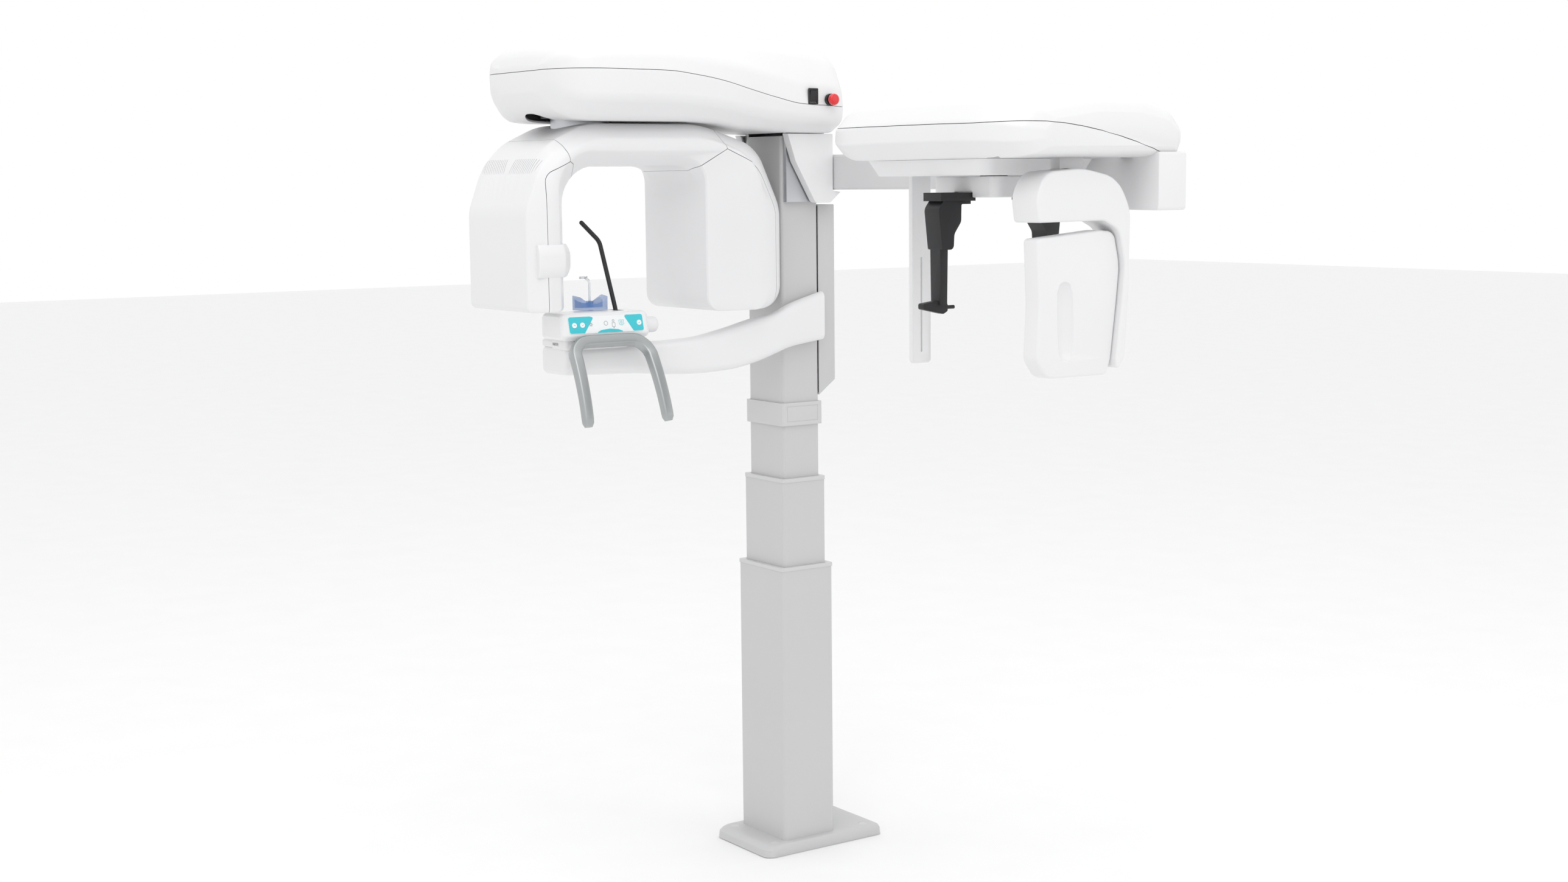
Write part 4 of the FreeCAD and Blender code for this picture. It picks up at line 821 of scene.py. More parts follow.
@dataclass
class OverheadArm:
    """The long arm over the patient: two covers, a frame and its rails."""

    wall: float = 4.0
    height: float = 214.0
    nose_radius: float = 112.0
    rear_radius: float = 70.0
    seam_gap: float = 0.7
    # place from the nose, half width, underside, seam and crown, all above the arm's own datum
    knots: tuple[tuple[float, ...], ...] = (
        (0.0, 235.0, 70.0, 119.0, 132.0), (8.0, 235.0, 44.0, 119.0, 156.0), (24.0, 235.0, 22.0, 119.0, 174.0),
        (62.0, 235.0, 4.0, 119.0, 188.0), (125.0, 235.0, 0.0, 119.0, 198.0),
        (279.0, 232.0, 0.0, 118.0, 209.0),
        (365.0, 225.0, 0.0, 110.0, 212.0), (444.0, 215.0, -3.0, 99.0, 213.5),
        (540.0, 202.0, -15.0, 78.0, 213.0),
        (617.0, 190.0, -21.0, 62.0, 212.0), (704.0, 186.0, -24.5, 46.0, 209.0),
        (795.0, 185.0, -25.0, 42.0, 193.0),
        (838.0, 185.0, -24.0, 40.0, 172.0), (855.0, 185.0, -20.0, 40.0, 150.0),
        (861.0, 185.0, -10.0, 40.0, 126.0))

    def build(self) -> None:
        """Both covers, cut apart along the seam, and the finish of what is inside."""
        low, high = span("overhead_top_cover", "overhead_bottom_cover")
        datum = high.z - self.height
        shell = self.shell(low.y, high.y, datum)
        top = Piece("overhead_top", shell.copy(), WHITE, 40.0).hollow(self.wall)
        top.within(self.seam(low.y, datum, self.seam_gap, 500.0))
        top.ride(Body.CARRIAGE, Slot.WHITE, "overhead_top_cover")
        bottom = Piece("overhead_bottom", shell, WHITE, 40.0).hollow(self.wall)
        bottom.within(self.seam(low.y, datum, -self.seam_gap, -500.0))
        hub_low, hub_high = span("rotation_hub")
        neck = (hub_high.x - hub_low.x) / 2 + 2.0
        slot = oblong((-neck, hub_low.y - 62), (neck, hub_high.y + 2), neck - 1, steps=12)
        doorway = oblong((-112, -66), (112, 88), 4)
        bottom.without(prism(Plane.XY, slot, datum - 40, datum + 20),
                       prism(Plane.XY, doorway, datum - 60, datum + 20))
        bottom.ride(Body.CARRIAGE, Slot.WHITE, "overhead_bottom_cover")
        dress_nodes(CAST, "overhead_frame", "carriage_frame", "stage_plate")
        dress_nodes(STEEL, "stage_rails", "rotation_bearing_ring")
        dress_nodes(MOTOR, "rotation_motor")

    def shell(self, nose: float, tail: float, datum: float) -> bmesh.types.BMesh:
        """The arm's outer skin as one closed solid.

        Args:
            nose: Place of the front end.
            tail: Place of the rear end.
            datum: Height of the arm's datum.

        Returns:
            The closed solid.
        """
        nose_turn = [nose + self.nose_radius * (1 - math.cos(a)) for a in quarter(9)]
        tail_turn = [tail - self.rear_radius * (1 - math.cos(a)) for a in reversed(quarter(8))]
        rings = []
        for y in nose_turn + steps_to(nose_turn[-1], tail_turn[0], 34)[:-1] + tail_turn:
            half, under, seam, crown = between(self.knots, y - nose)
            half -= pulled_in(y - nose, self.nose_radius) + pulled_in(tail - y, self.rear_radius) * 0.9
            ring = self.section(half, under, seam, crown, y - nose)
            rings.append([Vector((p.x, y, datum + p.y)) for p in ring])
        return skin(rings)

    def section(self, half: float, under: float, seam: float, crown: float, place: float) -> Ring:
        """One cross-section: flat underside, leaning sides and a crowned top.

        Args:
            half: Half width.
            under: Height of the underside.
            seam: Height of the seam.
            crown: Height of the crown.
            place: Distance from the nose.

        Returns:
            The closed outline.
        """
        belly = under + (seam - under) * 0.42
        lean = 0.80 + 0.06 * min(1.0, max(0.0, (place - 500) / 200))
        right = [(half - 52, under, 46), (half - 3, belly, 40), (half, seam, 60),
                 (half * 0.965, seam + (crown - under) * 0.22, 60), (half * lean * 0.86, crown - 6, 70)]
        left = [(-u, v, r) for u, v, r in reversed(right)]
        return rounded([left[-1], *right, (0, crown, 600), *left[:-1]], 6)

    def seam(self, nose: float, datum: float, gap: float, far: float) -> bmesh.types.BMesh:
        """The space above or below the seam between the two covers.

        Args:
            nose: Place of the front end.
            datum: Height of the arm's datum.
            gap: Distance from the seam line.
            far: How far the space reaches.

        Returns:
            The closed solid.
        """
        line = []
        for place in (-40.0 + i * 24.0 for i in range(40)):
            line.append(Vector((nose + place, datum + between(self.knots, place)[2] + gap)))
        line += [Vector((end.x, datum + far)) for end in (line[-1], line[0])]
        return prism(Plane.YZ, line, -400, 400)


@dataclass
class RotatingArm:
    """The C-shaped arm: six covers round a frame, with tube head and sensor inside."""

    wall: float = 4.0
    axis: float = -600.0
    bevel: float = 37.0
    arch_depth: float = 101.0
    throat: float = 115.0
    reach: float = 270.0
    rear_corner: float = 112.0
    seam_gap: float = 0.75
    vents: int = 14
    # distances of the skin's rings from the middle plane, for a half width of 165
    stations: tuple[float, ...] = (0, 30, 53, 62, 74, 86, 98, 106, 110, 114, 118, 122, 127, 133, 139, 144,
                                   148, 151,
                                   154, 157, 160, 162.2, 163.8, 164.7)
    # height above the nose's foot and distance out of the housing at each ring of the nose
    nose_rings: tuple[tuple[float, float], ...] = (
        (0, -1.0), (2, 1.2), (12, 5.6), (20, 8.2), (27, 9.0), (51, 9.0), (58, 8.2), (66, 5.6), (76, 1.2),
        (78, -1.0))
    half: float = field(init=False)
    crown: float = field(init=False)
    out: float = field(init=False)
    back: float = field(init=False)
    tube_foot: float = field(init=False)
    sensor_foot: float = field(init=False)

    def __post_init__(self) -> None:
        """Read the arm's extent from its CAD covers."""
        low, high = span("tube_housing_outer_cover", "arch_bridge_cover", "sensor_housing_rear_cover")
        self.half, self.crown = high.x, high.z
        self.out, self.back = low.y, high.y
        self.tube_foot = span("tube_housing_outer_cover")[0].z
        self.sensor_foot = low.z

    def build(self) -> None:
        """Cut the arm's skin into its covers and dress what is inside."""
        outer, core = self.skin_of(), self.skin_of(self.wall)
        for (name, node), corners in zip(self.covers().items(), self.cover_outlines()):
            piece = Piece(name, outer.copy(), WHITE, 26.0).cored(core)
            piece.within(prism(Plane.YZ, inset(rounded(corners, 6), self.seam_gap), -200.0, 200.0))
            if name == "tube_outer_shell":
                piece.without(*self.vent_slits())
            if name == "arch_bridge":
                piece.without(bore(73, -40, 40, Vector((0, self.axis, self.crown)), Z_AXIS, 64))
            piece.ride(Body.ARM, Slot.WHITE, node)
        self.nose(outer, self.axis - self.throat)
        dress_nodes(CAST, "rotating_arm_frame", "rotation_hub")
        dress_nodes(MOTOR, "xray_tube_head")
        dress_nodes(BLACK, "panoramic_image_sensor")

    @staticmethod
    def covers() -> dict[str, str]:
        """The CAD node that each cover stands for."""
        return {"tube_outer_shell": "tube_housing_outer_cover",
                "tube_inner_shell": "tube_housing_inner_cover",
                "arch_bridge": "arch_bridge_cover", "sensor_front_shell": "sensor_housing_front_cover",
                "sensor_rear_shell": "sensor_housing_rear_cover"}

    def cover_outlines(self) -> list[list[Corner]]:
        """The side outline that cuts out each cover; neighbours share the corners of their seam.

        Returns:
            One outline for each cover, in the order of covers().
        """
        face, inner, under = self.axis + self.reach, self.axis - self.throat, self.crown - self.arch_depth
        seam, split, floor, above = self.out + 49.0, self.back - 52, 1300, self.crown + 20
        tube = [(seam, under - 20, 30), (inner - 2, under + 10, 2), (inner - 42, above, 30)]
        bend = [(inner + 13, under + 4, 2), (inner + 40, under - 62, 0)]
        sensor = [(face - 50, under - 62, 0), (face - 24, under - 8, 8), (face + 54, under + 40, 2)]
        shoulder = [(face + 42, self.crown - 23, 20), (face + 42, above, 0)]
        rear = [(self.back - 104, under - 4, 90), (split, 1690, 90), (split, floor, 0)]
        return [
            [(self.out - 20, floor, 0), (seam, floor, 0), *tube, (self.out - 20, above, 0)],
            [(seam, floor, 0), (inner + 40, floor, 0), bend[1], bend[0], tube[1], tube[0]],
            [tube[2], tube[1], *bend, *sensor, *shoulder],
            [sensor[2], *rear, (face - 50, floor, 0), sensor[0], sensor[1]],
            [shoulder[1], shoulder[0], sensor[2], *rear, (self.back + 60, floor, 0),
             (self.back + 60, above, 0)],
        ]

    def outline(self, x: float) -> Ring:
        """Side outline of the arm at a distance from its middle plane, with every bevel's set-back.

        Args:
            x: Place across the arm.

        Returns:
            The closed outline.
        """
        outer = self.slope(abs(x), self.half - 15, 48.0)
        upper = self.slope(abs(x), self.half - 45, self.bevel)
        inner = self.slope(abs(x), self.half - 55, self.bevel)
        top = self.crown - upper
        under = self.crown - self.arch_depth + inner * 0.97
        out, within = self.out + outer, self.axis - self.throat - inner
        front = self.axis + self.reach + self.slope(abs(x), self.half - 15, 115.0)
        back = self.back - pulled_in(self.half - abs(x), self.rear_corner)
        shoulder = min(70.0, (back - front) * 0.45)
        return rounded([
            (out, self.tube_foot, 14), (out, 1700, 120),
            (self.axis - 185 + outer * 0.6, 1846 - upper * 0.7, 140),
            (self.axis - 50, top, 160), (self.axis + 270, top, 260),
            (back - shoulder, 1852 - upper * 0.8, 110),
            (back, 1700, 120), (back, self.sensor_foot, 58), (front, self.sensor_foot, 38),
            (front, under, 64),
            (within, under, 94), (within, self.tube_foot, 10)], 9)

    def slope(self, away: float, start: float, depth: float) -> float:
        """Set-back of a bevel that runs from a start to the side face, eased in and out."""
        share = max(0.0, (away - start + 3.0) / (self.half - start + 3.0))
        return depth * (share ** 1.25 if share < 1 else 1.0)

    def skin_of(self, wall: float = 0.0) -> bmesh.types.BMesh:
        """The arm's skin, or the space a wall inside it, as one closed solid.

        Args:
            wall: Distance inside the skin.

        Returns:
            The closed solid.
        """
        half = self.half - wall
        levels = [level * half / 165.0 for level in self.stations]
        rings = []
        for x in [-level for level in reversed(levels[1:])] + levels:
            rim = max(0.0, abs(x) - (half - 4.0))
            ring = inset(self.outline(x), wall + 4.0 - math.sqrt(max(0.0, 16.0 - rim * rim)))
            rings.append([Vector((x, p.x, p.y)) for p in ring])
        return skin(rings)

    def vent_slits(self) -> list[bmesh.types.BMesh]:
        """Slanted cooling slits over both shoulders of the tube housing.

        Returns:
            One cutter for each slit.
        """
        slits = []
        shoulder = Matrix.Translation(Vector((0, self.axis - 214, 1786)) * MM)
        place = shoulder @ Matrix.Rotation(math.radians(52), 4, "X")
        for side in (-1, 1):
            for x in (side * (12.0 + i * 9.2) for i in range(self.vents)):
                end = x + side * 10
                slit = [(x - 1.1, 0, 1.0), (x + 1.1, 0, 1.0), (end + 1.1, 46, 1.0), (end - 1.1, 46, 1.0)]
                mesh = prism(Plane.XY, rounded(slit, 2), -7.0, 7.0)
                bmesh.ops.transform(mesh, matrix=place, verts=mesh.verts)
                slits.append(mesh)
        return slits

    def nose(self, outer: bmesh.types.BMesh, inner: float) -> None:
        """The beam-limiting nose, wrapped round the tube housing's inner half.

        Args:
            outer: The arm's skin, which is used up.
            inner: Place of the housing's inner face.
        """
        low, high = span("collimator_nose")
        rings = []
        for level, out in self.nose_rings:
            right = [(self.half + out, low.y, 4), (self.half + out, inner - 27, 12),
                     (self.half - 42 + out * 0.5, inner + 2.6 + out, 16)]
            left = [(-u, v, r) for u, v, r in reversed(right)]
            ring = rounded([left[-1], *right, *left[:-1]], 6)
            rings.append([Vector((p.x, p.y, low.z + level)) for p in ring])
        window = oblong((-4, low.z + 14), (4, high.z - 14), 3.9, steps=5)
        piece = Piece("beam_nose", skin(rings), WHITE, 30.0)
        piece.without(outer, prism(Plane.XZ, window, inner + 8, inner + 20))
        piece.ride(Body.ARM, Slot.WHITE, "collimator_nose")


@dataclass
class ChinRest:
    """Chin-rest arm, control panel, handle, head rest and chin cup."""

    # place, left, right, bottom and top of each section of the arm
    arm: tuple[tuple[float, ...], ...] = (
        (-706.0, -26.0, 98.0, 1303.0, 1370.0), (-620.0, -26.0, 100.0, 1300.0, 1370.0),
        (-505.0, -20.0, 103.0, 1297.0, 1371.0), (-430.0, 16.0, 113.0, 1291.0, 1371.0),
        (-340.0, 50.0, 122.0, 1288.0, 1377.0), (-250.0, 68.0, 126.0, 1292.0, 1396.0),
        (-170.0, 76.0, 128.0, 1306.0, 1417.0), (-100.0, 79.4, 126.0, 1326.0, 1430.0),
        (-52.0, 78.8, 122.0, 1340.0, 1450.0), (54.0, 78.8, 112.0, 1354.0, 1480.0))
    arm_radii: tuple[float, ...] = (16, 22, 18, 16)
    lean: float = math.atan2(12.0, 50.0)
    wall: float = 3.0
    # distance from the case's end and set-back of its bevel
    case_ends: tuple[Spot, ...] = ((0.0, 10.0), (1.5, 6.5), (4.5, 3.2), (9.0, 1.0), (14.0, 0.0))
    button_places: tuple[float, ...] = (-88.0, -66.0, 92.0)
    stroke: float = 0.5
    handle_half: float = 104.0
    handle_corner: float = 46.0
    handle_drop: float = 214.0
    handle_bar: Spot = (137.0, 1386.0)
    panel_low: Vector = field(init=False)
    panel_high: Vector = field(init=False)

    def __post_init__(self) -> None:
        """Read the panel's place from its CAD housing."""
        self.panel_low, self.panel_high = span("control_panel_housing")

    @property
    def middle(self) -> float:
        """The panel's middle along its length."""
        return (self.panel_low.y + self.panel_high.y) / 2

    @property
    def normal(self) -> Vector:
        """The way the panel's leaning face looks."""
        return Vector((math.cos(self.lean), 0, math.sin(self.lean)))

    def build(self) -> None:
        """Every piece of the chin rest."""
        self.build_arm()
        self.build_panel()
        self.build_print()
        self.build_buttons()
        self.build_handle()
        self.build_head_rest()
        soften_nodes(("chin_support_cup", "chin_cup", BLUE_CLEAR, 1.2, Body.CHIN, Slot.BLUE),
                     ("bite_stick", "bite_rod", CLEAR, 0.8, Body.BITE, Slot.CLEAR))

    def build_arm(self) -> None:
        """The swept arm, with soft edges and a rounded end."""
        tip, root = self.arm[0][0], self.arm[-1][0]
        ends = [tip + 10 * (1 - math.cos(a)) for a in quarter(5)]
        rings = []
        for y in ends + steps_to(ends[-1], root, 44):
            left, right, low, high = between(self.arm, y)
            ring = oblong((left, low), (right, high), *self.arm_radii, steps=6)
            rings.append([Vector((p.x, y, p.y)) for p in inset(ring, pulled_in(y - tip, 10.0))])
        Piece("chin_arm", skin(rings), WHITE).ride(Body.CARRIAGE, Slot.WHITE, "chin_rest_arm")
        low, high = self.panel_low, self.panel_high
        seat = block((low.x + 3, low.y + 26, 1364.0), (low.x + 78, high.y - 44, low.z + 1.5), 5.0)
        Piece("panel_seat", seat, WHITE).ride(Body.CARRIAGE, Slot.WHITE)
        lip = block((-25, tip, 1368.0), (70, tip + 60, 1387.0), 6.0)
        Piece("arm_end_lip", lip, WHITE).ride(Body.CARRIAGE, Slot.WHITE)

    def face(self, out: float, along: float, up: float) -> Vector:
        """A point in millimetres on the panel's leaning face.

        Args:
            out: Distance out of the face.
            along: Distance along the panel from its middle.
            up: Distance up the face from its middle.

        Returns:
            The point.
        """
        normal = self.normal
        rise = Vector((-normal.z, 0, normal.x))
        centre = Vector((128.0, self.middle, self.panel_low.z + 37.0))
        return centre + normal * out + rise * up + Vector((0, along, 0))

    def plate(self, ring: Ring, low: float, high: float) -> bmesh.types.BMesh:
        """An outline on the panel's face, as a plate between two heights out of it."""
        return skin([[self.face(level, p.x, p.y) for p in ring] for level in (low, high)])

    def holes(self, places: Iterable[float]) -> list[bmesh.types.BMesh]:
        """Round holes through the panel's face for buttons."""
        return [bore(6.9, -20, 15, self.face(0, along, 0), self.normal, 32) for along in places]

    def build_panel(self) -> None:
        """Panel housing: a box with bevelled ends and a leaning face."""
        high = self.panel_high
        panel = Piece("panel_case", self.case(0.0), WHITE_SMOOTH)
        panel.without(self.case(self.wall), block((40, -556, high.z - 15), (94, -536, high.z + 15), 4.0),
                      bore(8.5, -40, 40, Vector((76, high.y, 1416)), Y_AXIS, 32),
                      bore(6.6, -20, 20, Vector((34, -600, high.z)), Z_AXIS, 32),
                      *self.holes(self.button_places))
        panel.ride(Body.CARRIAGE, Slot.WHITE, "control_panel_housing")

    def case(self, wall: float) -> bmesh.types.BMesh:
        """The housing's skin, or the space a wall inside it, as one closed solid.

        Args:
            wall: Distance inside the skin.

        Returns:
            The closed solid.
        """
        low, high = self.panel_low, self.panel_high
        profile = [(low.x, low.z, 11), (126, low.z, 11), (high.x, low.z + 12, 11), (122, high.z - 4, 9),
                   (112, high.z, 11), (low.x, high.z, 14)]
        rows = [(low.y + wall + along, back) for along, back in self.case_ends]
        rows += [(high.y - wall - along, back) for along, back in reversed(self.case_ends)]
        rings = []
        for y, back in rows:
            amount = min(8.0, back) * (1.0 if wall == 0 else 0.6) + wall
            rings.append([Vector((p.x, y, p.y)) for p in inset(rounded(profile, 6), amount)])
        return skin(rings)

    def build_print(self) -> None:
        """The printed film: white ground, three turquoise fields and plain line symbols."""
        ground = oblong((-104, -21), (104, 21), 6, steps=5)
        film = Piece("panel_film", self.plate(ground, 0.1, 1.0), FILM_WHITE)
        film.without(*self.holes(self.button_places))
        film.ride(Body.CARRIAGE, Slot.FILM, "panel_membrane")
        left = [(-103, -20, 5), (-62, -20, 3), (-33, 18, 4), (-44, 20.5, 3), (-103, 20.5, 5)]
        right = [(103, -20, 5), (74, -20, 4), (50, 20.5, 4), (103, 20.5, 5)]
        arch = [(-30, -20.5, 1), (-16, -14, 14), (8, -11.5, 30), (32, -14, 14), (48, -20.5, 1)]
        fields = (("field_left", left, self.button_places[:2]),
                  ("field_right", right, self.button_places[2:]),
                  ("field_low", arch, ()))
        for name, corners, places in fields:
            piece = Piece(name, self.plate(rounded(corners, 4), 0.95, 1.12), TURQUOISE)
            piece.without(*self.holes(places))
            piece.ride(Body.CARRIAGE, Slot.FILM)
        for name, strokes in self.symbols().items():
            ink = TURQUOISE if name == "symbol_screen" else PRINT_GREY
            self.draw(name, strokes, ink, Body.CARRIAGE, 1.05)

    @staticmethod
    def symbols() -> dict[str, list[list[Spot]]]:
        """Plain line symbols for the film: a lamp, a ring, a standing figure and a screen.

        Returns:
            Each symbol's strokes, as lines of points on the face.
        """
        rays = [[(-43 + r * math.cos(a), 1 + r * math.sin(a)) for r in (3.4, 5.6)]
                for a in (math.pi / 4 * i for i in range(8))]
        return {"symbol_lamp": [circle(-43, 1, 2.4)] + rays,
                "symbol_ring": [circle(-1, 2, 5.0, 28)],
                "symbol_figure": [circle(20, 7.5, 2.6), [(16, 2.5), (24, 2.5), (24, -7), (21, -7), (21, -11)],
                                  [(16, 2.5), (16, -7), (19, -7), (19, -11)]],
                "symbol_screen": [[(36, 8), (49, 8), (49, -2), (36, -2), (36, 8)], [(39, -4.5), (46, -4.5)],
                                  circle(42.5, 3, 2.4)]}

    def draw(self, name: str, strokes: list[list[Spot]], finish: Finish, body: Body, level: float) -> None:
        """Draw strokes on the panel's face as one flat ribbon mesh.

        Args:
            name: Name of the piece.
            strokes: Lines of points on the face.
            finish: The ink.
            body: The body it moves with.
            level: Height out of the face.
        """
        mesh = bmesh.new()
        for start, stop in [pair for stroke in strokes for pair in zip(stroke, stroke[1:])]:
            start, stop = Vector(start), Vector(stop)
            way = stop - start
            side, tip = Vector((-way.y, way.x)).normalized() * self.stroke, way.normalized() * 0.2
            corners = [start - tip + side, start - tip - side, stop + tip - side, stop + tip + side]
            low, high = [[mesh.verts.new(self.face(level + lift, *corner) * MM) for corner in corners]
                         for lift in (-0.2, 0.12)]
            mesh.faces.new(high)
            for i in range(4):
                mesh.faces.new((low[i], low[(i + 1) % 4], high[(i + 1) % 4], high[i]))
        bmesh.ops.recalc_face_normals(mesh, faces=mesh.faces)
        Piece(name, mesh, finish).ride(body, Slot.FILM)

    def build_buttons(self) -> None:
        """Domed white buttons with an arrow or a tick."""
        marks = (("button_up", Body.BUTTON_UP, [(-3, -1.5), (0, 1.8), (3, -1.5)]),
                 ("button_down", Body.BUTTON_DOWN, [(-3, 1.5), (0, -1.8), (3, 1.5)]),
                 ("button_confirm", Body.BUTTON_CONFIRM, [(-3, 0.2), (-0.8, -2.2), (3.2, 2.4)]))
        profile = [(8.1, -4.6), (8.1, -3.7), (6.5, -3.7), (6.5, 1.2), (6.2, 1.8), (5.4, 2.1), (3.0, 2.2),
                   (0.8, 2.2)]
        for along, (node, body, stroke) in zip(self.button_places, marks):
            cap = turned(profile, self.face(0, along, 0), self.normal, 40)
            Piece(node + "_cap", cap, BUTTON).ride(body, Slot.BUTTON, node)
            self.draw(node + "_mark", [[(u + along, v) for u, v in stroke]], TURQUOISE, body, 2.25)

    def handle_leg(self, side: int) -> list[tuple[Vector, float]]:
        """One leg of the handle from its tip to the bar.

        Args:
            side: -1 or 1, for the side of the panel it hangs from.

        Returns:
            Points, and the share of taper at each.
        """
        x, z = self.handle_bar
        swung = []
        for taper in (i / 18 for i in range(18, -1, -1)):
            drop = 44.0 + (self.handle_drop - 44.0) * taper
            swing = math.radians(29.0) + math.radians(9.0) * (0.5 - taper)
            out = self.middle + side * (self.handle_half + 7 * taper)
            swung.append((Vector((x + math.sin(swing) * drop + 1.5, out, z - math.cos(swing) * drop)), taper))
        swing = math.radians(33.5)
        for a in quarter(9)[1:-1]:
            drop = self.handle_corner * (1 - math.sin(a))
            out = self.middle + side * (self.handle_half - self.handle_corner * (1 - math.cos(a)))
            swung.append((Vector((x + math.sin(swing) * drop, out, z - math.cos(swing) * drop)), 0.0))
        return swung

    def build_handle(self) -> None:
        """The patient handle: a bowed, tapering U under the panel."""
        x, z = self.handle_bar
        bar = [(Vector((x, self.middle + i * 13.0, z)), 0.0) for i in range(-4, 5)]
        line = self.handle_leg(-1) + bar + list(reversed(self.handle_leg(1)))
        last = len(line) - 1
        lean = Vector((math.cos(math.radians(29)), 0, math.sin(math.radians(29))))
        rings = []
        for i, (point, taper) in enumerate(line):
            way = (line[min(last, i + 1)][0] - line[max(0, i - 1)][0]).normalized()
            side = way.cross(lean).normalized()
            up = side.cross(way).normalized()
            close = {0: 0.70, 1: 0.97}.get(min(i, last - i), 1.0)
            wide, deep = (13.5 - 1.0 * taper) * close, (14.5 - 1.5 * taper) * close
            ring = oblong((-wide, -deep), (wide, deep), 9, 9, 6, 6, steps=5)
            rings.append([point + side * p.x + up * p.y for p in ring])
        Piece("handle_bar", skin(rings), HANDLE, 50.0).ride(Body.CARRIAGE, Slot.ALLOY, "patient_handle")
        foot = block((98, self.middle - 76, 1373), (131, self.middle + 76, 1386.5), 4.0)
        Piece("handle_foot", foot, HANDLE).ride(Body.CARRIAGE, Slot.ALLOY)

    @staticmethod
    def build_head_rest() -> None:
        """The knob is turned; the rod keeps its CAD shape."""
        low, high = span("head_rest_knob")
        centre = Vector(((low.x + high.x) / 2, low.y, (low.z + high.z) / 2))
        profile = [(6.1, 0), (14, 0), (14, 5), (18.6, 5.2), (20.2, 7), (20.5, 10), (19.4, 38), (18.6, 42),
                   (16.5, 44.4), (13, 45), (0.5, 45)]
        knob = Piece("tilt_knob", turned(profile, centre, Y_AXIS, 56), WHITE_SMOOTH)
        knob.ride(Body.HEAD_REST, Slot.WHITE, "head_rest_knob")
        dress_nodes(BLACK, "head_rest_rod")


